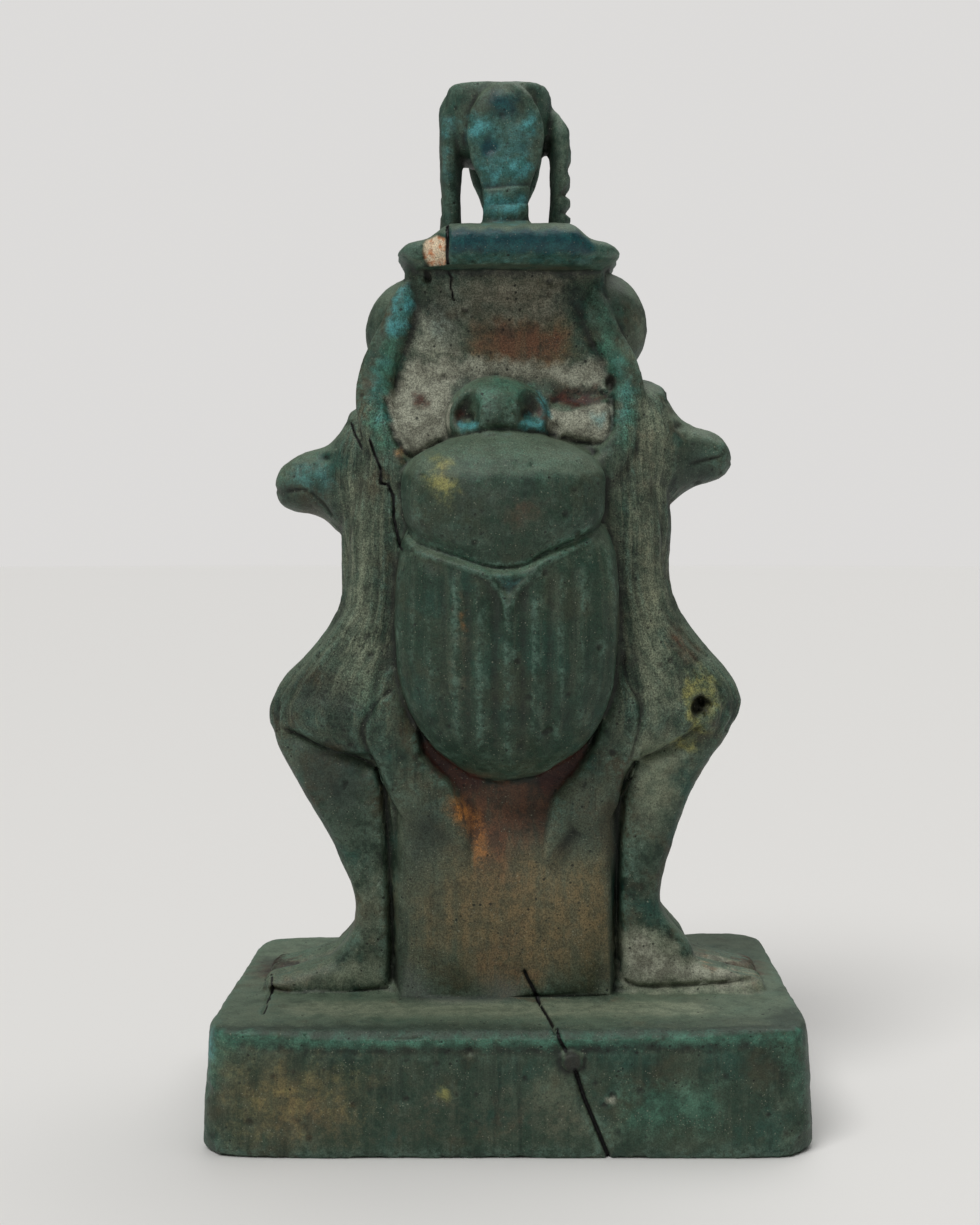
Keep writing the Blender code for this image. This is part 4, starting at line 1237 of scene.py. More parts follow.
# Where each stain lies: strength, spot, softness of its edge, and its outline
stains = {
    "crust": (
        (1, "panel", 0.25, (
            (-6.85, 41.9), (-6.6, 40.6), (-6.3, 39.7), (-5.75, 38.75), (-5.2, 38.5), (-4.3, 39),
            (-3.4, 39.6), (-3, 40.4), (-3.1, 41.8), (-3.2, 42.8), (-6.1, 43),
        )),
        (1, "panel", 0.2, (
            (2.3, 40.5), (2.7, 39.9), (3.8, 39.5), (5, 39.3), (5.6, 39.4), (6.05, 40.1), (6.15, 41.5),
            (5.5, 41.7), (4.7, 41.3), (3.5, 41.1), (2.5, 41.1),
        )),
        (0.8, "panel", 0.5, (
            (-5.8, 44.2), (-6.1, 42.1), (-3.8, 42.3), (-2, 43.1), (2, 43.1), (4.9, 42.3), (6.2, 42.8),
            (5.7, 44.3), (3.2, 43.9), (-1.5, 44.3),
        )),
        (0.55, "panel", 0.9, ((-5.2, 47.2), (-5.7, 44), (-2.2, 44.2), (-2.6, 46.4), (-3.6, 47.6))),
        (0.44, "panel", 1, ((-4.6, 49.4), (-4.4, 46), (3.6, 46), (4.2, 49.4))),
        (0.9, "plinthFront", 0.2, ((5.5, 3.4), (5.5, 3.1), (5.9, 3.05), (5.95, 3.4))),
        (0.8, "topFace", 0.25, ((3.5, -7.8), (3.5, -8.2), (4.2, -8.3), (4.3, -7.9))),
        (0.85, "nearHalf", 0.9, ((6.9, 7.6), (6.9, 10.8), (8.4, 10.6), (10.2, 9.2), (13.8, 8.4), (14, 7.4))),
    ),
    "rust": (
        (0.9, "panel", 0.8, (
            (-1.5, 46.3), (-1.9, 45), (-0.6, 44.1), (1.4, 43.9), (3.4, 44.3), (3.5, 45.6), (2, 46.1),
            (0.3, 46.5),
        )),
        (0.42, "panel", 1.2, ((-1.8, 49), (-1.5, 46.5), (3.4, 46.2), (3.6, 48.8))),
        (0.5, "blockFace", 0.9, (
            (-1.6, 15.6), (-1.9, 12.8), (-1.6, 9.3), (-0.9, 7.4), (1.6, 7.4), (1.5, 10.3), (0.6, 12.8),
            (0.4, 15.4),
        )),
        (1.15, "underWings", 0.4, (
            (-2.6, 19.2), (-2.5, 17.4), (-1.4, 16), (0.4, 15.6), (2.4, 15.9), (2.7, 17.2), (2.4, 19.2),
            (-0.3, 19.6),
        )),
        (0.4, "plinthFront", 1.8, (
            (-13, 4.2), (-13.4, 2.2), (-12.6, 0.8), (-9, 0.9), (-8, 2.6), (-9.6, 4), (-11.4, 4.4),
        )),
        (0.3, "plinthFront", 2, ((-8.5, 0.5), (-4, 0.6), (6, 1), (5, 3.5), (-5, 3.8))),
        (0.65, "animals", 0.6, (
            (9.6, 29), (9.3, 27.7), (10.1, 26.7), (11.4, 26.2), (11.7, 26.8), (10.5, 28.4),
        )),
        (0.38, "animals", 0.8, (
            (7.7, 40), (7.5, 34.8), (7.8, 32.5), (8.3, 32.5), (8.9, 36), (9.3, 39.4), (8.4, 40.6),
        )),
        (0.5, "blockFoot", 0.5, ((-6.9, 8.4), (-3.6, 7.9), (0.8, 7.9), (5.1, 8.3), (2.9, 8.8), (-4.2, 8.8))),
        (0.5, "ankles", 1, ((-14.6, 7.9), (-15.1, 6.9), (-12.7, 7), (-9.9, 8.2), (-10.2, 8.9))),
        (0.5, "ankles", 1, ((11.5, 9.1), (12.2, 7.9), (14.7, 7), (16, 7.2), (15.6, 8.5))),
        (0.8, "topFace", 1.2, ((9.8, 4), (10, 0), (14, -0.6), (15.8, 0.6), (15.8, 4.6))),
        (0.6, "topFace", 1.2, ((-9.8, 4), (-10, 0), (-14, -0.6), (-15.6, 0.6), (-15.6, 4.6))),
        (0.6, "topFace", 0.6, ((-6.6, -4.6), (-6.6, -5.5), (6.8, -5.5), (6.8, -4.6))),
        (0.4, "wingCases", 0.7, ((-2.6, 30.8), (-2.9, 27), (-2.5, 23), (-2.1, 27))),
        (0.35, "wingCases", 0.8, ((-1, 34.5), (1.5, 34), (2.6, 35.4), (0.5, 36.6))),
    ),
    "tan": (
        (1.1, "blockFace", 1.4, (
            (-2.4, 16.4), (-2.6, 14.4), (-3, 11.5), (-2.4, 8.6), (1.9, 8.2), (2.9, 11), (2.4, 14.6),
            (1.6, 16.2),
        )),
        (1.1, "blockFace", 1.2, ((3, 15), (2.7, 9.3), (5.5, 7.9), (6.2, 11), (5.5, 15.5))),
        (0.55, "blockFace", 1, ((-5.8, 15), (-6, 11), (-5.6, 8), (-2.2, 7.6), (-2.6, 11), (-3.4, 15))),
        (0.7, "panel", 0.9, ((-2.2, 45), (-1.4, 43.3), (3.2, 43.1), (4.4, 44.6), (3.6, 46.6), (-1.4, 46.8))),
        (0.35, "panel", 0.9, ((-3.2, 48.9), (-3, 46.8), (3.4, 46.6), (3.6, 48.8))),
        (0.65, "plinthFront", 2.4, (
            (-15.4, 5.4), (-15.8, 2.2), (-13.4, 1), (-8.6, 1.2), (-7.6, 4.3), (-11.8, 5.4),
        )),
        (0.4, "animals", 0.9, ((7.6, 34), (7.7, 28.5), (8.8, 28), (8.9, 33))),
    ),
    "paleBloomAndHighlight": (
        (0.6, "blockFace", 0.6, ((-0.3, 15.3), (-0.2, 14.2), (2.4, 14), (2.8, 15.1), (1.6, 15.4))),
        (0.7, "animals", 1, ((8, 26.6), (7.6, 24), (8.4, 22.6), (10.2, 24), (9.8, 26.4))),
        (0.8, "animals", 0.8, ((7.8, 42), (7.6, 36), (9.4, 36), (9.8, 41))),
        (0.4, "crown", 0.7, ((2.6, 59), (2.7, 52), (3.9, 52), (4.1, 57.8))),
        (1.4, "nearHalf", 0.9, ((6.9, 7.2), (6.9, 10.6), (8.6, 10.6), (10.2, 9.1), (14.8, 8.2), (15, 7.2))),
        (0.7, "nearHalf", 0.8, ((-6.9, 7.2), (-6.9, 9.4), (-9, 9), (-13.6, 8), (-13.6, 7.2))),
        (0.95, "animals", 1.2, ((7.5, 22.4), (7.4, 16), (8.6, 16), (10.4, 21.6), (9.4, 22.8))),
        (0.8, "animals", 1.3, ((7.4, 36), (7.3, 26.5), (9.6, 25.5), (9.4, 30), (9, 36))),
        (0.65, "animals", 1.3, (
            (-9.4, 37), (-9.6, 32), (-10.4, 26.5), (-9.6, 24), (-7.4, 24.5), (-7.2, 33), (-7.6, 39.5),
        )),
        (0.55, "animals", 1, ((7.2, 40), (7.2, 36), (9.2, 36), (9.2, 41))),
        (0.5, "animals", 1, ((-8.7, 16.5), (-8.8, 10.8), (-6.9, 10.4), (-6.9, 16.5))),
        (1.1, "topFace", 1, ((-12, -5.6), (-12.4, -8.4), (-3, -8.9), (6, -8.6), (12, -7.8), (11, -5.6))),
        # painted highlight: the light rim along the plinth top's front edge
        (0.9, "topFace", 0.14, (
            (2.6, -11.85), (5, -11.95), (8.6, -11.8), (8.6, -12.2), (5, -12.35), (2.6, -12.25),
        )),
        (0.6, "topFace", 0.14, (
            (-12, -12), (-8, -11.9), (-1, -12), (-1, -12.35), (-8, -12.3), (-12, -12.4),
        )),
        (0.7, "panel", 0.25, (
            (2.7, 40.3), (3.8, 39.7), (5, 39.5), (5.8, 40.1), (5.9, 41.2), (4.7, 41), (3.2, 40.9),
        )),
        (0.6, "panel", 0.3, ((-6.4, 40.8), (-5.6, 39), (-4.6, 39.2), (-5, 40.4), (-6, 41.6))),
        (0.4, "panel", 0.8, ((-4.9, 46.6), (-5.2, 44.6), (-3.2, 44.6), (-3, 46.4))),
    ),
    "jade": (
        (0.9, "plinthFront", 0.4, (
            (-16.6, 6.9), (-16.4, 6.3), (-12, 6), (-5, 6.1), (4, 6.1), (10, 6.2), (16.6, 6.3), (16.6, 6.9),
            (10, 6.75), (0, 6.6), (-9, 6.6),
        )),
        (0.8, "topEdge", 0.5, (
            (-16.4, -11.6), (-6, -11.8), (6, -11.8), (16.4, -11.6), (16.6, -12.6), (-16.6, -12.6),
        )),
        (0.6, "plinthEnds", 0.8, ((-17, 7), (-17, 3), (-15.6, 4), (-14.6, 6.6))),
        (0.5, "plinthEnds", 0.9, ((17, 7), (17, 2), (15.8, 3), (14.6, 6.6))),
        (0.5, "plinthFront", 1.2, ((6, 4), (5.8, 1), (12, 1.4), (12, 4.6))),
        (1, "forelegs", 0.6, (
            (-6.6, 46), (-7.6, 43.5), (-7.9, 40.6), (-7.2, 38.8), (-6.6, 39), (-6.9, 42), (-6, 45),
        )),
        (0.8, "forelegs", 0.6, (
            (5.4, 47.6), (6.9, 44), (7.6, 41.4), (7, 39), (6.4, 39.4), (6.6, 42), (5.4, 45),
        )),
        (0.5, "nearHalf", 0.8, ((5.2, 48), (5, 46.4), (6.4, 45.8), (6.9, 47.2))),
        (0.6, "scarabHead", 0.8, ((-2.6, 42.6), (-1.6, 41.4), (1.4, 41.4), (2.2, 42.6), (0, 43.6))),
        (0.35, "neckShield", 1.2, ((-4.4, 38.8), (-2.4, 36.4), (2.4, 36.4), (4.4, 38.4), (0, 40))),
        (0.45, "shieldEdge", 0.5, (
            (-5.6, 34.6), (-2.6, 33.2), (-0.2, 31.9), (2.4, 33.3), (5.2, 34.6), (5.3, 33.8), (2.4, 32.4),
            (0.2, 31.1), (-2.6, 32.4), (-5.5, 33.6),
        )),
        (0.4, "heads", 1, ((-13.4, 38.4), (-13.6, 37), (-10.4, 36.4), (-9.6, 38.6), (-11, 39.2))),
        (0.45, "animals", 1, ((-9, 26.6), (-8.8, 23.4), (-7, 23.6), (-7, 26.4))),
        (0.45, "animals", 0.8, ((12.6, 23.6), (11.8, 21.8), (12.6, 21.6), (13.6, 24.2), (13.4, 25.6))),
    ),
    # painted shade in the groove behind the plinth top's front edge and where the shins meet the block;
    # darker glaze on the left thigh, the heads and the neck shield; the plinth top darker towards its right
    # end
    "shadeAndDarkGlaze": (
        (0.95, "topEdge", 0.45, (
            (-16, -11.5), (-16, -10.4), (-9, -10.2), (0, -10.4), (6, -10.7), (12, -10.5), (16.6, -9.8),
            (16.6, -11.9), (8, -11.6), (0, -11.6), (-9, -11.7),
        )),
        (0.5, "topEdge", 0.9, ((-16, -11.5), (-16, -9.4), (-6, -9.2), (6, -9.4), (16.6, -8), (16.6, -11.9))),
        (0.8, "topEdge", 0.9, ((14.6, -12.4), (14, -9.6), (15.4, -7), (17, -6), (17, -12.4))),
        (0.65, "animals", 1.2, ((-12.6, 26.4), (-12.8, 23.6), (-9, 22.6), (-7.6, 23.6), (-7.8, 26.4))),
        (0.4, "wingCases", 1.4, ((-3.6, 37), (-4.6, 34.6), (0, 33.2), (4.6, 34.6), (3.8, 37), (0, 37.8))),
        (0.8, "animals", 1.2, ((-12.6, 22), (-11.6, 18.4), (-8.8, 17), (-7.6, 21), (-10, 21.8))),
        (0.5, "heads", 1, ((-13.2, 35.6), (-12, 34.8), (-9.6, 34.6), (-9.8, 37.6), (-11.6, 38.4))),
        (0.6, "heads", 1, ((13.4, 37), (12.6, 35.6), (9.8, 35.8), (9.8, 39), (11.6, 39.6))),
        (0.6, "blockFace", 0.8, ((-6.2, 18), (-6.4, 14), (-4, 14.6), (-3, 17.4), (-4.4, 19.4))),
        (0.5, "blockFace", 0.8, ((6.4, 18.4), (6.2, 15), (4.2, 15), (3.2, 17.6), (4.6, 19.6))),
    ),
    "wine": (
        (1, "recess", 0.3, (
            (-4.9, 21.7), (-4.4, 20.5), (-2.7, 19.2), (-1.3, 19.1), (-1.3, 20), (-3.4, 21.4), (-4.4, 22.3),
        )),
        (1, "recess", 0.3, (
            (4.8, 21.7), (4.3, 20.4), (3.1, 19.2), (1.8, 19.1), (1.7, 20), (3.4, 21.4), (4.3, 22.2),
        )),
        (0.95, "panel", 0.3, (
            (2.6, 42), (2.7, 41.6), (3.4, 41.6), (3.9, 41.35), (4.8, 41.45), (5.6, 41.75), (6.1, 42.3),
            (5.5, 42), (5, 41.9), (4.6, 42.1), (4.1, 41.9), (3.5, 42.2),
        )),
        (0.6, "panel", 0.5, ((2.7, 42.6), (2.8, 42.1), (3.6, 42.2), (4.6, 42.2), (4.2, 42.7), (3.4, 42.6))),
        (0.7, "panel", 0.2, ((5.2, 42.9), (5, 42.4), (5.3, 42), (5.6, 41.9), (5.3, 42.4), (5.4, 42.8))),
        (0.75, "panel", 0.35, (
            (-5.4, 42.1), (-5.3, 41.4), (-4.8, 41.5), (-4.3, 41.1), (-4.3, 41.8), (-4.8, 42.2),
        )),
        (0.7, "eyeHollows", 0.3, ((-2.9, 41.2), (-2.8, 40.2), (-2.3, 40), (-2.3, 41))),
        (0.8, "eyeHollows", 0.25, ((1.9, 42), (1.8, 40.6), (2.2, 40.2), (2.6, 40.9), (2.3, 41.6))),
    ),
    "ochre": (
        (1.1, "underWings", 0.3, (
            (-3.35, 18.5), (-3.2, 17.9), (-2.5, 17.3), (-2, 16.7), (-1.4, 16.6), (-1.5, 17.2),
            (-2.2, 17.8), (-2.6, 18.4), (-3, 18.7),
        )),
        (0.5, "underWings", 0.3, ((-2.8, 18.7), (-2.2, 17.7), (-1.3, 17), (-1.2, 18), (-1.7, 18.7))),
        (0.85, "underWings", 0.3, ((-2, 16.4), (-1.85, 15.2), (-1.35, 15.1), (-1.3, 16.3))),
        (0.3, "underWings", 0.5, ((-1.6, 15), (-1.5, 13), (-0.6, 12.8), (-0.9, 14.8))),
        (0.45, "wingCases", 0.4, ((-3.7, 37.9), (-3.8, 37.3), (-3.4, 37), (-3.1, 37.5), (-3.3, 37.9))),
        (0.6, "forelegRoot", 0.4, ((-6, 39), (-6.3, 38.7), (-6, 38.1), (-5.6, 38.5))),
        (0.6, "feet", 0.3, ((11.7, 9.1), (11.6, 8.7), (12.3, 8.4), (12.5, 8.9))),
        (0.6, "feet", 0.3, ((12.7, 9.7), (12.7, 9.2), (13.4, 9.2), (13.5, 9.7))),
        (0.5, "wingCases", 0.35, ((-2.55, 29.8), (-2.6, 28.6), (-2.25, 28.6), (-2.2, 29.8))),
    ),
    "turquoise": (
        (1, "nearCobra", 0.5, ((-2.1, 58), (-2.1, 57), (-1.3, 56.7), (-0.6, 57.2), (-1.2, 57.9))),
        (0.9, "nearCobra", 0.5, ((0.4, 57.2), (1.4, 56.8), (2, 57.4), (1.5, 58.1))),
        (1, "nearCobra", 0.5, (
            (-1.5, 55.6), (-1.2, 54.4), (-0.4, 54.8), (-0.2, 55.4), (0.4, 55.6), (1.3, 55.6), (1.5, 55),
            (1.1, 54.5), (0.3, 54.6), (-0.6, 54.2),
        )),
        (0.42, "nearCobra", 0.9, (
            (-2, 58.2), (-2, 56.4), (-1.3, 53.6), (1.3, 53.6), (1.9, 56.4), (1.8, 58),
        )),
        (1, "nearCobra", 0.4, ((-1.4, 53.4), (-1.4, 52.5), (0.2, 52.4), (1.1, 52.7), (1.1, 53.4))),
        (0.6, "nearCobra", 0.4, ((-1.4, 52.1), (-1.4, 51.4), (1.1, 51.4), (1.1, 52.1))),
        (0.45, "abacusFace", 0.3, ((-3.1, 49.75), (5, 49.7), (5.3, 49.3), (-3.1, 49.3))),
        (0.8, "crown", 0.5, ((-3.7, 58.2), (-3.8, 57.2), (-3, 57.4), (-2.9, 58))),
        (0.6, "crown", 0.5, ((-3.8, 56.6), (-3.7, 54.6), (-3.3, 54.6), (-3.3, 56.4))),
        (0.5, "panel", 0.4, ((4.6, 41.1), (5, 40), (5.9, 40.2), (6, 41.2))),
        (0.35, "panel", 0.8, ((-4.4, 47.4), (-4.6, 45), (-3, 45), (-2.8, 46.8))),
        (1, "forelegTops", 0.35, (
            (-6.2, 48.4), (-6.6, 46.9), (-6.9, 45.5), (-5.9, 45.6), (-5.5, 46.5), (-5.4, 47.5),
            (-5.6, 48.4),
        )),
        (0.5, "forelegSides", 0.6, (
            (-7.4, 44.5), (-8, 42.5), (-7.4, 40.2), (-6.6, 40.2), (-7, 42.5), (-6.5, 44.5),
        )),
        (0.45, "forelegSides", 0.6, (
            (6.5, 44.5), (7.6, 42.5), (7, 40.2), (6.3, 40.2), (6.6, 42.5), (5.9, 44.5),
        )),
        (1, "eyeHollows", 0.25, ((-2.7, 40.4), (-2.5, 39.8), (-1.6, 39.9), (-1.5, 40.3))),
        (1, "eyeHollows", 0.25, ((1.2, 40.9), (0.7, 40), (2.4, 39.9), (2.3, 40.6))),
        (0.9, "eyeHollows", 0.25, ((1.8, 42), (2.1, 40.9), (2.6, 40.6), (2.5, 41.6), (2, 42.3))),
        (0.6, "plinthCorner", 0.5, ((-16.8, 7.2), (-16.8, 4.7), (-16.2, 5), (-15.8, 6.6))),
        (0.4, "heads", 0.7, ((-12.6, 38.5), (-12.9, 36.8), (-10.4, 36.3), (-9.6, 37.1), (-10.4, 38.6))),
        (0.5, "neckShield", 0.3, ((-0.5, 31.6), (0.9, 31.6), (0.2, 30.8))),
    ),
    "navy": (
        (1, "abacusFace", 0.3, (
            (-3.2, 51.1), (-3.2, 49.85), (0.8, 49.8), (4.6, 49.8), (5.1, 49.9), (5, 50.4), (4, 51.1),
        )),
        (0.8, "nearCobra", 0.5, ((-0.8, 59.3), (-0.9, 58.2), (0, 57.7), (0.8, 58.2), (0.7, 59.3))),
        (0.9, "nearCobra", 0.25, (
            (-1.5, 56.5), (-1.45, 55.8), (-0.9, 55.6), (-0.4, 55.9), (-0.4, 56.5), (-0.9, 56.8),
        )),
        (0.6, "nearCobra", 0.35, ((0.6, 56.5), (0.6, 56), (1.2, 56), (1.3, 56.5))),
        # painted shade, dark navy, on the block under the wing cases' sides
        (0.45, "blockFace", 0.6, ((-5.6, 23.6), (-5.2, 22.8), (-4.9, 22), (-5, 23.6))),
        (0.5, "blockFace", 0.6, ((5.5, 23.6), (5.2, 22.8), (4.6, 21.6), (4.9, 23.6))),
    ),
    "yellow": (
        (0.75, "wingCases", 0.7, (
            (-4.2, 38.2), (-4.4, 37), (-3.6, 35.7), (-2.9, 36), (-2.6, 37.2), (-3.2, 38.2),
        )),
        (0.62, "animals", 0.7, (
            (10.8, 26.3), (10.5, 25), (10.7, 23.7), (10.3, 22.1), (10.9, 21.4), (11.5, 22), (12.2, 23.4),
            (12.6, 24.4), (12.5, 25.6), (11.6, 26.3),
        )),
        (1.1, "animals", 0.3, (
            (10.5, 25.6), (10.4, 24.6), (10.5, 23.6), (10.9, 22.9), (11.3, 23.1), (10.85, 23.8),
            (10.9, 24.8), (11.3, 25.2), (11.1, 25.7),
        )),
        (1, "animals", 0.3, ((9.9, 22.1), (9.7, 21.75), (10.8, 21.5), (11.2, 21.9), (10.8, 22.3))),
        (0.3, "plinthFront", 2.2, ((-15.4, 5.8), (-15.4, 1), (-8, 0.8), (-7, 5.6))),
        (0.75, "plinthFront", 0.3, ((-3.7, 3.9), (-3.6, 3.35), (-3.1, 3.3), (-3, 3.8), (-3.3, 4))),
    ),
    "chip": (
        (1, "abacusChip", 0.15, (
            (-4.7, 50.4), (-4.4, 50.75), (-3.7, 50.8), (-3.4, 50.6), (-3.35, 49.3), (-4.2, 49.3),
            (-4.6, 49.7),
        )),
    ),
    # painted shade, near black: under the wing cases' sides, beside the wings, in the right knee's hole, on
    # the plinth's top between and behind the feet, in two pits of the panel, at the left mouth and between
    # the hood and the side cobras; the knob in the plinth's crack is dark of itself
    "paintedShadeAndKnob": (
        (1, "hindLegEdges", 0.35, ((-5.6, 23.9), (-5.1, 22.6), (-4.8, 21.8), (-4.2, 22.2), (-5, 23.9))),
        (1, "hindLegEdges", 0.35, ((5.5, 23.9), (5, 22.6), (4.7, 21.8), (4.1, 22.2), (4.9, 23.9))),
        (0.6, "besideWings", 0.5, ((-7.2, 27.6), (-7.3, 26.2), (-6.7, 26), (-6.6, 27.6))),
        (0.6, "besideWings", 0.5, ((7, 28.2), (7, 26.3), (7.8, 26.3), (7.8, 28))),
        (0.8, "animals", 0.3, ((10.7, 24.6), (10.8, 23.5), (11.7, 23.4), (12, 24.4), (11.5, 24.8))),
        (0.85, "knob", 0.14, (
            (3.1, 5.65), (3.05, 5.2), (3.35, 4.85), (3.85, 4.8), (4.15, 5.2), (4.1, 5.6), (3.8, 5.9),
            (3.4, 5.9),
        )),
        (0.75, "topFace", 1.3, ((10.6, 5), (10.4, -0.6), (13.6, -0.8), (15.4, 1.2), (15.6, 6))),
        (0.75, "topFace", 1.3, ((-10.6, 5), (-10.4, -0.6), (-13.4, -0.8), (-15.2, 1.2), (-15.4, 6))),
        (0.9, "panel", 0.25, ((5.9, 43.2), (5.9, 42.4), (6.4, 42.4), (6.4, 43.3))),
        (0.9, "panel", 0.2, ((-4.7, 49.4), (-4.65, 48.6), (-4.3, 48.6), (-4.3, 49.4))),
        (0.6, "heads", 0.35, ((-13.6, 37), (-13.5, 36.2), (-12.4, 36.3), (-12.3, 36.9))),
        (0.5, "crown", 0.4, ((2.5, 57.2), (2.4, 55), (3.2, 55), (3.3, 57.2))),
        (0.5, "crown", 0.4, ((-3, 56.2), (-3, 54), (-2.3, 54.6), (-2.4, 56.2))),
    ),
}


# One inside the outline and nought outside it, crossing over within the softness
def outlineField(u, v, outline, softness):
    closed = list(outline) + [outline[0]]
    inside = np.zeros(u.shape, dtype=bool)
    for (u0, v0), (u1, v1) in zip(closed, closed[1:]):
        if v0 == v1:
            continue
        crosses = (v0 > v) != (v1 > v)
        inside ^= crosses & (u < (u1 - u0) * (v - v0) / (v1 - v0) + u0)
    away = measureLine(u, v, closed)[0]
    return np.clip(0.5 + np.where(inside, away, -away) / (2 * softness), 0, 1)


stainEdge = {"wander": 0.28, "softest": 0.7}


def markStains(skin):
    fields = {}
    for name, patches in stains.items():
        field = np.zeros(len(skin["place"]))
        for strength, spot, softness, outline in patches:
            toolSide, reach = stainSpots[spot]
            us = [point[0] for point in outline]
            vs = [point[1] for point in outline]
            low = (min(us) - softness, min(vs) - softness)
            high = (max(us) + softness, max(vs) + softness)
            near, weight, u, v, into = underTool(skin, toolSide, low, high, reach)
            # the edge wanders, by two waves across each direction
            wander = stainEdge["wander"] * min(softness, stainEdge["softest"])
            u = u + wander * (np.sin(v * 4.1 + 1.3 * np.sin(u * 2.7)) + 0.7 * np.sin(v * 9.3 + u * 5.1))
            v = v + wander * (np.sin(u * 3.7 + 1.1 * np.sin(v * 3.1)) + 0.7 * np.sin(u * 8.7 - v * 4.3))
            value = outlineField(u, v, outline, softness) * strength * np.sqrt(weight)
            field[near] = np.maximum(field[near], value)
        fields[name] = field
    return fields


# Steps of smoothing for narrow and wide forms; then full depth of wide and narrow ones, and what is let off
reliefValues = {
    "narrow": 6,
    "wide": 24,
    "hollow": (0.1, 0.06, 0.18),
    "edge": (0.08, 0.05, 0.06),
    "topside": (0.25, 0.65),
}


# Hollows and edges are where a point lies under or over the mean of its neighbours
def markRelief(made, skin):
    values = reliefValues
    count = len(skin["place"])
    ends = np.empty(len(made.data.edges) * 2, dtype=np.int32)
    made.data.edges.foreach_get("vertices", ends)
    a, b = ends[0::2], ends[1::2]
    degree = np.bincount(a, minlength=count) + np.bincount(b, minlength=count)
    smooth = skin["place"].copy()
    depths = {}
    for step in range(1, values["wide"] + 1):
        total = np.empty_like(smooth)
        for axis in range(3):
            total[:, axis] = np.bincount(a, smooth[b, axis], count) + np.bincount(b, smooth[a, axis], count)
        smooth = smooth * 0.4 + total / np.maximum(degree, 1)[:, None] * 0.6
        if step in (values["narrow"], values["wide"]):
            depths[step] = ((smooth - skin["place"]) * skin["facing"]).sum(axis=1)
    wide, narrow = depths[values["wide"]], depths[values["narrow"]]
    hollow, edge = values["hollow"], values["edge"]
    return {
        "hollow": np.clip(wide / hollow[0] + narrow / hollow[1] - hollow[2], 0, 1),
        "edge": np.clip(-wide / edge[0] - narrow / edge[1] - edge[2], 0, 1),
        "topside": rise(skin["facing"][:, 2], *values["topside"]),
    }


# Each zone: how far forward it starts, its foot, its top and its sides, every one as a soft edge from and to
zoneEdges = {
    "scarab": {"front": (4.6, 6.0), "foot": (19.8, 21.5), "top": (43.2, 43.8), "side": (6.2, 7.0)},
    "panel": {"front": (2.0, 2.6), "foot": (39.0, 40.0), "top": (49.5, 50.0), "side": (5.6, 6.6)},
    "block": {"front": (3.7, 4.1), "foot": (7.3, 7.8), "top": (19.0, 21.0), "side": (6.2, 6.6)},
}
panelEnd = (4.4, 5.0)
crownFoot = (49.0, 49.6)
plinthEnd = (7.0, 7.5)


def markCracks(skin):
    field = np.zeros(len(skin["place"]))
    for toolSide, reach, width, depth, line in crackLines.values():
        near, weight, u, v, into = underTool(skin, toolSide, everywhere[0], everywhere[1], reach)
        away = measureLine(u, v, line)[0]
        field[near] = np.maximum(field[near], np.clip(1 - away / (1.7 * width), 0, 1))
    return field


def markZones(skin):
    x, y, z = skin["place"].T
    fields = {}
    for name, edges in zoneEdges.items():
        field = rise(-y, *edges["front"]) * rise(z, *edges["foot"])
        field *= (1 - rise(z, *edges["top"])) * (1 - rise(np.abs(x), *edges["side"]))
        fields[name] = field
    fields["panel"] *= 1 - rise(-y, *panelEnd)
    fields["strand"], fields["mane"] = maneField(skin["place"])
    fields["crown"] = rise(z, *crownFoot)
    fields["plinth"] = 1 - rise(z, *plinthEnd)
    return fields


def storeFields(made, fields):
    for name, field in fields.items():
        layer = made.data.attributes.new(name, "FLOAT", "POINT")
        layer.data.foreach_set("value", field.astype(np.float32))


addPlinth()
addBlock()
addBaboons()
addDiscs()
addScarab()
addAbacus()
addCrown()
print("lumps made:", len(lumps))
body = joinLumps()
print("one skin:", len(body.data.vertices), "points")
skin = readSkin(body)
carveWings(skin)
carveHead(skin)
carveHindLegs(skin)
carveAnimals(skin)
carveCrown(skin)
carvePlinth(skin)
combMane(skin)
writeSkin(body, skin)
weatherSkin(body)
skin = readSkin(body)
pitSkin(skin)
carveWear(skin)
writeSkin(body, skin)
print("carved and weathered")
kept = sparedPoints(skin)
skin = readSkin(body)
fields = markStains(skin)
fields.update(markRelief(body, skin))
fields.update(markZones(skin))
fields["crack"] = markCracks(skin)
storeFields(body, fields)
print("fields marked:", ", ".join(fields))
thinSkin(body, kept)
fitToBox(body)
print("thinned:", len(body.data.polygons), "faces")


def addNode(tree, kind, **settings):
    made = tree.nodes.new("ShaderNode" + kind)
    for name, value in settings.items():
        setattr(made, name, value)
    return made


def feed(tree, socket, value):
    if isinstance(value, bpy.types.NodeSocket):
        tree.links.new(value, socket)
    else:
        socket.default_value = value


def fieldOf(tree, name):
    return addNode(tree, "Attribute", attribute_name=name).outputs["Fac"]


def reckon(tree, operation, a, b, clamp=False):
    made = addNode(tree, "Math", operation=operation, use_clamp=clamp)
    feed(tree, made.inputs[0], a)
    feed(tree, made.inputs[1], b)
    return made.outputs[0]


# Value times growth, plus start
def grown(tree, value, growth, start):
    made = reckon(tree, "MULTIPLY_ADD", value, growth)
    feed(tree, made.node.inputs[2], start)
    return made


def times(tree, a, b):
    return reckon(tree, "MULTIPLY", a, b)


def plus(tree, a, b, clamp=False):
    return reckon(tree, "ADD", a, b, clamp)


def less(tree, a, b, clamp=False):
    return reckon(tree, "SUBTRACT", a, b, clamp)


# Nought under the low value, one over the high one
def between(tree, value, low, high):
    made = addNode(tree, "MapRange", interpolation_type="SMOOTHSTEP")
    feed(tree, made.inputs["Value"], value)
    made.inputs["From Min"].default_value = low
    made.inputs["From Max"].default_value = high
    return made.outputs["Result"]


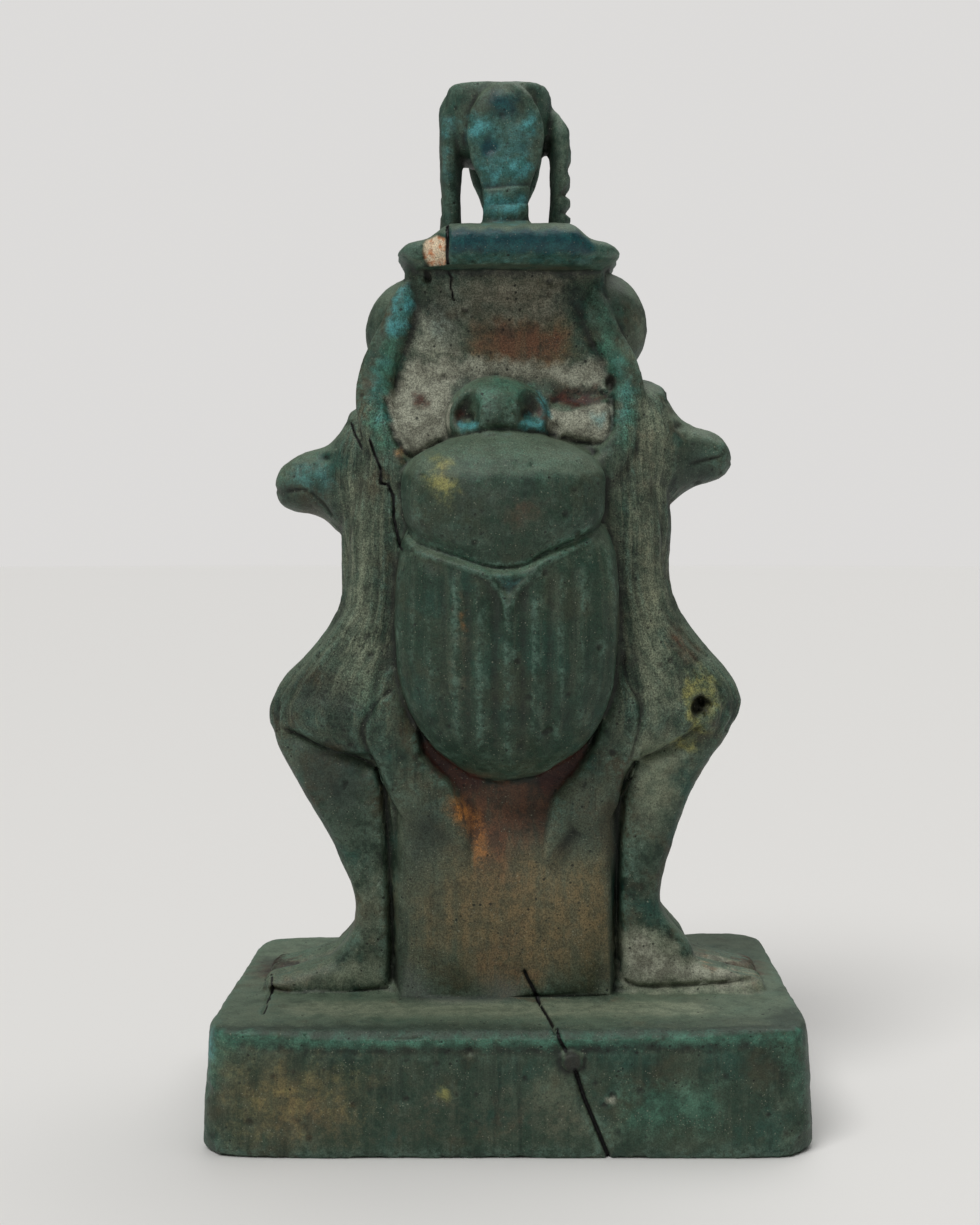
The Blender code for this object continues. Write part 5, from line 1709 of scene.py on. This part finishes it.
def clouds(tree, place, scale, detail, roughness):
    made = addNode(tree, "TexNoise")
    feed(tree, made.inputs["Vector"], place)
    made.inputs["Scale"].default_value = scale
    made.inputs["Detail"].default_value = detail
    made.inputs["Roughness"].default_value = roughness
    return made.outputs["Fac"]


def stretched(tree, place, scale=(1, 1, 1), shift=(0, 0, 0)):
    made = addNode(tree, "Mapping")
    feed(tree, made.inputs["Vector"], place)
    made.inputs["Location"].default_value = shift
    made.inputs["Scale"].default_value = scale
    return made.outputs["Vector"]


def dots(tree, place, scale, small, large):
    made = addNode(tree, "TexVoronoi")
    feed(tree, made.inputs["Vector"], place)
    made.inputs["Scale"].default_value = scale
    size = between(tree, made.outputs["Color"], 0.0, 1.0)
    radius = grown(tree, size, large - small, small)
    return between(tree, less(tree, radius, made.outputs["Distance"]), 0.0, 0.05)


def paint(tree, under, colour, mask, blendType="MIX"):
    made = addNode(tree, "Mix", data_type="RGBA", blend_type=blendType)
    feed(tree, made.inputs["Factor"], mask)
    feed(tree, made.inputs["A"], under)
    feed(tree, made.inputs["B"], colour)
    return made.outputs["Result"]


glazeValues = {
    "deep": (0.008, 0.019, 0.012, 1),
    "green": (0.024, 0.047, 0.029, 1),
    "grey": (0.055, 0.074, 0.048, 1),
    "pale": (0.140, 0.160, 0.105, 1),
    "brown": (0.080, 0.055, 0.028, 1),
    "sea": (0.016, 0.074, 0.056, 1),
    "moss": (0.011, 0.037, 0.021, 1),
    "stone": (0.092, 0.096, 0.060, 1),
    # pale flecks, and the glints painted on the pinpricks
    "fleckAndGlint": (0.30, 0.31, 0.23, 1),
    # the dark of pores, and of the hollows, where it is dirt and painted shade
    "dirt": (0.009, 0.012, 0.009, 1),
    # the pale green of worn edges, which is wear and painted highlight on the rims
    "worn": (0.080, 0.150, 0.112, 1),
    "dust": (0.130, 0.178, 0.120, 1),
    "crackBlack": (0.002, 0.002, 0.002, 1),
    "grainDark": (0.45, 0.45, 0.45, 1),
    "grainLight": (1.65, 1.65, 1.65, 1),
    "toneSteps": (("deep", 0.39), ("green", 0.46), ("grey", 0.545), ("pale", 0.63)),
    "dustCover": 0.7,
    "wearAndHighlightCover": 0.8,
    "roughness": (0.42, 0.68),
    "specular": 0.34,
    "bump": 0.00006,
    "bumpStrength": 0.7,
}
# Clouds in the paste: scale, shift, stretch, detail and roughness
glazeClouds = {
    "broad": (0.22, (0, 0, 0), (1, 1, 1), 3.0, 0.55),
    "middle": (0.8, (31, 7, 12), (1, 1, 1), 4.0, 0.6),
    "fine": (3.2, (0, 0, 0), (1, 1, 1), 4.0, 0.65),
    "grain": (11.0, (0, 0, 0), (1, 1, 1), 3.0, 0.7),
    "brownDrift": (0.3, (5, 60, 3), (1, 1, 1), 4.0, 0.6),
    "seaDrift": (0.35, (50, 3, 80), (1, 1, 1), 4.0, 0.6),
    "patchy": (1.5, (2, 8, 5), (1, 1, 1), 5.0, 0.65),
    "streaks": (1.0, (0, 0, 0), (1.7, 1.7, 0.1), 4.0, 0.6),
    "darkStreaks": (1.0, (9, 4, 0), (2.3, 2.3, 0.12), 4.0, 0.6),
}
# Washes over the first tone: colour, the cloud values where each starts and is full, and cover
glazeWashes = {
    "brownDrift": ("brown", 0.5, 0.66, 0.55),
    "seaDrift": ("sea", 0.52, 0.68, 0.65),
    "hairs": ("pale", 0.48, 0.62, 0.6),
    "gaps": ("deep", 0.5, 0.38, 0.55),
    "streaks": ("grey", 0.5, 0.66, 0.45),
    "darkStreaks": ("deep", 0.55, 0.7, 0.5),
}
# Tints of single parts: colour and cover
zoneTints = {
    "scarab": ("moss", 0.62),
    "plinthSides": ("moss", 0.8),
    "crown": ("sea", 0.4),
    "block": ("stone", 0.45),
}
# Pale flecks and pinpricks, the pinpricks also painted glints of the glassy grain, then dark pores: scale,
# shift, smallest and largest radius, colour and cover
glazeDots = {
    "flecks": (2.6, (13, 2, 40), -0.12, 0.16, "fleckAndGlint", 0.35),
    "pinpricksAndGlints": (6.5, (7, 22, 9), -0.2, 0.26, "fleckAndGlint", 0.4),
    "pores": (1.9, (0, 0, 0), 0.0, 0.2, "dirt", 0.8),
    "smallPores": (4.2, (3, 9, 4), -0.05, 0.22, "dirt", 0.6),
    "barePores": (2.4, (21, 5, 17), 0.0, 0.2, "dirt", 0.75),
}
# For each stain: its two colours, how much it covers, and how far the grain breaks it up
stainLooks = {
    # shade: dark green-grey, for painted shade and for darker glaze
    "shadeAndDarkGlaze": ((0.018, 0.030, 0.022, 1), (0.030, 0.046, 0.034, 1), 0.75, 0.4),
    "jade": ((0.062, 0.190, 0.128, 1), (0.028, 0.096, 0.063, 1), 0.8, 0.28),
    # bloom: pale bloom of the glaze, and the plinth rim's painted highlight
    "paleBloomAndHighlight": ((0.215, 0.245, 0.165, 1), (0.140, 0.170, 0.114, 1), 0.75, 0.2),
    "tan": ((0.178, 0.128, 0.058, 1), (0.112, 0.092, 0.045, 1), 0.85, 0.16),
    "rust": ((0.135, 0.058, 0.030, 1), (0.072, 0.038, 0.022, 1), 0.9, 0.26),
    "crust": ((0.300, 0.310, 0.240, 1), (0.170, 0.172, 0.130, 1), 0.95, 0.2),
    "wine": ((0.045, 0.013, 0.010, 1), (0.085, 0.028, 0.016, 1), 0.95, 0.35),
    "ochre": ((0.500, 0.195, 0.035, 1), (0.130, 0.048, 0.014, 1), 0.95, 0.2),
    "turquoise": ((0.068, 0.280, 0.292, 1), (0.028, 0.128, 0.116, 1), 0.85, 0.14),
    "navy": ((0.002, 0.040, 0.050, 1), (0.006, 0.066, 0.070, 1), 0.95, 0.05),
    "yellow": ((0.270, 0.262, 0.085, 1), (0.100, 0.120, 0.056, 1), 0.85, 0.28),
    "chip": ((0.760, 0.640, 0.460, 1), (0.560, 0.230, 0.100, 1), 1.0, 0.05),
    # soot: near black, for painted shade and the dark knob
    "paintedShadeAndKnob": ((0.010, 0.010, 0.009, 1), (0.020, 0.018, 0.014, 1), 0.9, 0.3),
}


zoneNames = (
    "scarab", "panel", "block", "plinth", "crown", "mane", "strand", "topside", "hollow", "edge", "crack",
)


# The clouds and the painted fields that every layer below draws on
def gatherMasks(tree):
    place = stretched(tree, addNode(tree, "TexCoord").outputs["Object"], scale=(1 / mm, 1 / mm, 1 / mm))
    masks = {"place": place}
    for name, (scale, shift, stretch, detail, roughness) in glazeClouds.items():
        moved = stretched(tree, place, scale=stretch, shift=shift)
        masks[name] = clouds(tree, moved, scale, detail, roughness)
    for name in zoneNames:
        masks[name + "Field"] = fieldOf(tree, name)
    return masks


def wash(tree, colour, name, cloud, limit=None):
    tint, start, full, cover = glazeWashes[name]
    mask = between(tree, cloud, start, full)
    if limit is not None:
        mask = times(tree, mask, limit)
    return paint(tree, colour, glazeValues[tint], times(tree, mask, cover)), mask


# The first tone with slow drifts of hue: the scarab is darker, the crown bluer, the block bare stone
def paintGround(tree, masks):
    tone = plus(tree, times(tree, masks["broad"], 0.4), times(tree, masks["middle"], 0.4))
    tone = plus(tree, tone, times(tree, masks["fine"], 0.2))
    ramp = addNode(tree, "ValToRGB")
    feed(tree, ramp.inputs["Fac"], tone)
    steps = glazeValues["toneSteps"]
    for element, (name, position) in zip(ramp.color_ramp.elements, (steps[0], steps[-1])):
        element.position = position
        element.color = glazeValues[name]
    for name, position in steps[1:-1]:
        ramp.color_ramp.elements.new(position).color = glazeValues[name]
    colour = ramp.outputs["Color"]
    for name in ("brownDrift", "seaDrift"):
        colour = wash(tree, colour, name, masks[name])[0]
    upright = less(tree, 0.5, masks["topsideField"], clamp=True)
    where = {
        "scarab": masks["scarabField"],
        "plinthSides": times(tree, masks["plinthField"], upright),
        "crown": masks["crownField"],
        "block": masks["blockField"],
    }
    for name, (tint, cover) in zoneTints.items():
        colour = paint(tree, colour, glazeValues[tint], times(tree, where[name], cover))
    return colour


# Streaks along the strands of the manes, and down the wing cases and block
def paintStreaks(tree, masks, colour):
    alongMane = addNode(tree, "CombineXYZ")
    feed(tree, alongMane.inputs["X"], masks["strandField"])
    height = addNode(tree, "SeparateXYZ")
    feed(tree, height.inputs["Vector"], masks["place"])
    feed(tree, alongMane.inputs["Z"], times(tree, height.outputs["Z"], 0.09))
    strands = clouds(tree, alongMane.outputs["Vector"], 2.6, 5.0, 0.7)
    for name in ("hairs", "gaps"):
        colour, masks[name] = wash(tree, colour, name, strands, masks["maneField"])
    for name in ("streaks", "darkStreaks"):
        colour = wash(tree, colour, name, masks[name])[0]
    return colour


# Dust on what faces up; worn edges, lighter by wear and by painted highlight; dirt and painted shade in the
# hollows
def paintWearHighlightAndShade(tree, masks, colour):
    dusty = times(tree, between(tree, masks["middle"], 0.3, 0.55), 0.4)
    dusty = times(tree, masks["topsideField"], plus(tree, dusty, 0.6))
    colour = paint(tree, colour, glazeValues["dust"], times(tree, dusty, glazeValues["dustCover"]))
    # painted highlight with the wear: the worn colour on edges, broken up by the clouds
    uneven = between(tree, masks["fine"], 0.36, 0.58)
    uneven = times(tree, uneven, between(tree, masks["middle"], 0.36, 0.6))
    wearAndHighlight = times(tree, masks["edgeField"], uneven)
    colour = paint(tree, colour, glazeValues["worn"], times(tree, wearAndHighlight, glazeValues["wearAndHighlightCover"]))
    # painted shade with the dirt: the hollows darkened, less on faces that look up and on the scarab
    sparedFromDirtAndShade = plus(tree, times(tree, masks["topsideField"], 0.75), times(tree, masks["scarabField"], 0.3))
    masks["dirty"] = times(tree, masks["hollowField"], less(tree, 0.85, sparedFromDirtAndShade, clamp=True))
    return paint(tree, colour, glazeValues["dirt"], masks["dirty"])


# Stains, painted shade and painted highlight among them, their edges broken up by the grain
def paintStains(tree, masks, colour):
    breakUp = plus(tree, times(tree, masks["middle"], 0.45), times(tree, masks["fine"], 0.4))
    breakUp = plus(tree, breakUp, times(tree, masks["grain"], 0.15))
    patchy = between(tree, masks["patchy"], 0.42, 0.6)
    # the pale and brown stains lie on the strands of the manes, less between them
    strandShare = less(tree, 1.0, times(tree, masks["maneField"], 0.4))
    strandShare = plus(tree, strandShare, times(tree, masks["hairs"], 0.9), clamp=True)
    # and the brown ones run down the stone in streaks
    streakShare = grown(tree, between(tree, masks["streaks"], 0.36, 0.6), 0.45, 0.55)
    for name, (main, second, cover, broken) in stainLooks.items():
        field = fieldOf(tree, name)
        swing = grown(tree, less(tree, breakUp, 0.5), 4.0 * broken, field)
        mask = times(tree, between(tree, swing, 0.12, 0.85), between(tree, field, 0.0, 0.15))
        if name in ("paleBloomAndHighlight", "tan", "rust"):
            mask = times(tree, mask, strandShare)
        if name in ("tan", "rust"):
            mask = times(tree, mask, streakShare)
        mottled = paint(tree, main, second, patchy)
        colour = paint(tree, colour, mottled, times(tree, mask, cover))
    # the hollows' dirt and painted shade once more, at 0.35 of its strength
    return paint(tree, colour, glazeValues["dirt"], times(tree, masks["dirty"], 0.35))


# Flecks, pinpricks that are partly painted glints, and pores, the grain light against dark, and the cracks
def paintGrain(tree, masks, colour):
    bare = plus(tree, masks["blockField"], times(tree, masks["maneField"], 0.5), clamp=True)
    limits = {"pores": between(tree, masks["middle"], 0.4, 0.55), "barePores": bare}
    for name, (scale, shift, small, large, tint, cover) in glazeDots.items():
        mask = dots(tree, stretched(tree, masks["place"], shift=shift), scale, small, large)
        if name in limits:
            mask = times(tree, mask, limits[name])
        masks[name] = mask
        colour = paint(tree, colour, glazeValues[tint], times(tree, mask, cover))
    speckle = between(tree, masks["grain"], 0.34, 0.66)
    speckle = paint(tree, glazeValues["grainDark"], glazeValues["grainLight"], speckle)
    coarse = plus(tree, times(tree, masks["maneField"], 0.45), times(tree, masks["panelField"], 0.25))
    coarse = plus(tree, coarse, times(tree, masks["blockField"], 0.2))
    coarse = less(tree, coarse, times(tree, masks["plinthField"], 0.1))
    colour = paint(tree, colour, speckle, plus(tree, coarse, 0.55, clamp=True), "MULTIPLY")
    crack = between(tree, masks["crackField"], 0.5, 0.75)
    return paint(tree, colour, glazeValues["crackBlack"], crack)


# Crust is duller than the rest; thick blue and green glaze is shinier
def glazeRoughness(tree, masks):
    low, high = glazeValues["roughness"]
    mixed = plus(tree, times(tree, masks["fine"], 0.5), times(tree, masks["broad"], 0.5))
    rough = grown(tree, mixed, high - low, low)
    rough = plus(tree, rough, times(tree, fieldOf(tree, "crust"), 0.2), clamp=True)
    thick = plus(tree, times(tree, fieldOf(tree, "navy"), 0.2), times(tree, fieldOf(tree, "jade"), 0.12))
    return less(tree, rough, thick, clamp=True)


def glazeRelief(tree, masks):
    relief = plus(tree, times(tree, masks["grain"], 0.5), times(tree, masks["fine"], 0.8))
    relief = less(tree, relief, masks["pores"])
    relief = less(tree, relief, times(tree, masks["smallPores"], 0.5))
    relief = plus(tree, relief, times(tree, less(tree, masks["hairs"], masks["gaps"]), 0.8))
    bump = addNode(tree, "Bump")
    bump.inputs["Strength"].default_value = glazeValues["bumpStrength"]
    bump.inputs["Distance"].default_value = glazeValues["bump"]
    feed(tree, bump.inputs["Height"], relief)
    return bump.outputs["Normal"]


def makeGlaze():
    glaze = bpy.data.materials.new("greenFaience")
    glaze.use_nodes = True
    tree = glaze.node_tree
    surface = tree.nodes["Principled BSDF"]
    surface.inputs["Specular IOR Level"].default_value = glazeValues["specular"]
    masks = gatherMasks(tree)
    colour = paintGround(tree, masks)
    for layer in (paintStreaks, paintWearHighlightAndShade, paintStains, paintGrain):
        colour = layer(tree, masks, colour)
    feed(tree, surface.inputs["Base Color"], colour)
    feed(tree, surface.inputs["Roughness"], glazeRoughness(tree, masks))
    feed(tree, surface.inputs["Normal"], glazeRelief(tree, masks))
    return glaze


body.data.materials.clear()
body.data.materials.append(makeGlaze())
deselectAll()
body.select_set(True)
bpy.context.view_layer.objects.active = body
bpy.ops.object.shade_smooth()
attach(body, "root")
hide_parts("amulet")
print("glaze laid on")

floorValues = {"radius": 2.0, "colour": (0.8, 0.79, 0.77, 1), "roughness": 0.6}


def addFloor():
    deselectAll()
    radius = floorValues["radius"]
    bpy.ops.mesh.primitive_circle_add(vertices=96, radius=radius, fill_type="NGON", location=(0, 0, 0))
    floor = bpy.context.object
    floor.name = "paleFloor"
    paper = bpy.data.materials.new("paleFloor")
    paper.use_nodes = True
    surface = paper.node_tree.nodes["Principled BSDF"]
    surface.inputs["Base Color"].default_value = floorValues["colour"]
    surface.inputs["Roughness"].default_value = floorValues["roughness"]
    floor.data.materials.append(paper)


studioLights = {
    "key": {"from": (-0.4, -0.6, 1.0), "strength": 1.7, "softness": 26},
    "top": {"from": (0.25, 0.35, 1.0), "strength": 1.1, "softness": 50},
}
worldValues = {"colour": (0.84, 0.83, 0.81, 1), "strength": 0.24, "seen": (0.72, 0.71, 0.7, 1)}
cameraValues = {"place": (-1.23, -111.63, 33.9), "pitchDown": 2.376, "lens": 54.23}


# The sky that lights the figure, and the plain one that the camera sees over the floor's edge
def makeWorld():
    world = bpy.data.worlds.new("studio")
    bpy.context.scene.world = world
    world.use_nodes = True
    tree = world.node_tree
    lighting = tree.nodes["Background"]
    lighting.inputs["Color"].default_value = worldValues["colour"]
    lighting.inputs["Strength"].default_value = worldValues["strength"]
    seen = addNode(tree, "Background")
    seen.inputs["Color"].default_value = worldValues["seen"]
    either = addNode(tree, "MixShader")
    feed(tree, either.inputs["Fac"], addNode(tree, "LightPath").outputs["Is Camera Ray"])
    feed(tree, either.inputs[1], lighting.outputs["Background"])
    feed(tree, either.inputs[2], seen.outputs["Background"])
    feed(tree, tree.nodes["World Output"].inputs["Surface"], either.outputs["Shader"])


def addStudio():
    for name, light in studioLights.items():
        deselectAll()
        turn = Vector(light["from"]).to_track_quat("Z", "Y").to_euler()
        bpy.ops.object.light_add(type="SUN", location=light["from"], rotation=turn)
        lamp = bpy.context.object
        lamp.name = name
        lamp.data.energy = light["strength"]
        lamp.data.angle = math.radians(light["softness"])
    makeWorld()
    deselectAll()
    turn = (math.radians(90 - cameraValues["pitchDown"]), 0, 0)
    bpy.ops.object.camera_add(location=[v * mm for v in cameraValues["place"]], rotation=turn)
    camera = bpy.context.object
    camera.data.lens = cameraValues["lens"]
    camera.data.sensor_width = 36
    camera.data.clip_start = 0.01
    bpy.context.scene.camera = camera
    bpy.context.scene.view_settings.view_transform = "Standard"


addFloor()
addStudio()
print("stage, lights and camera set")
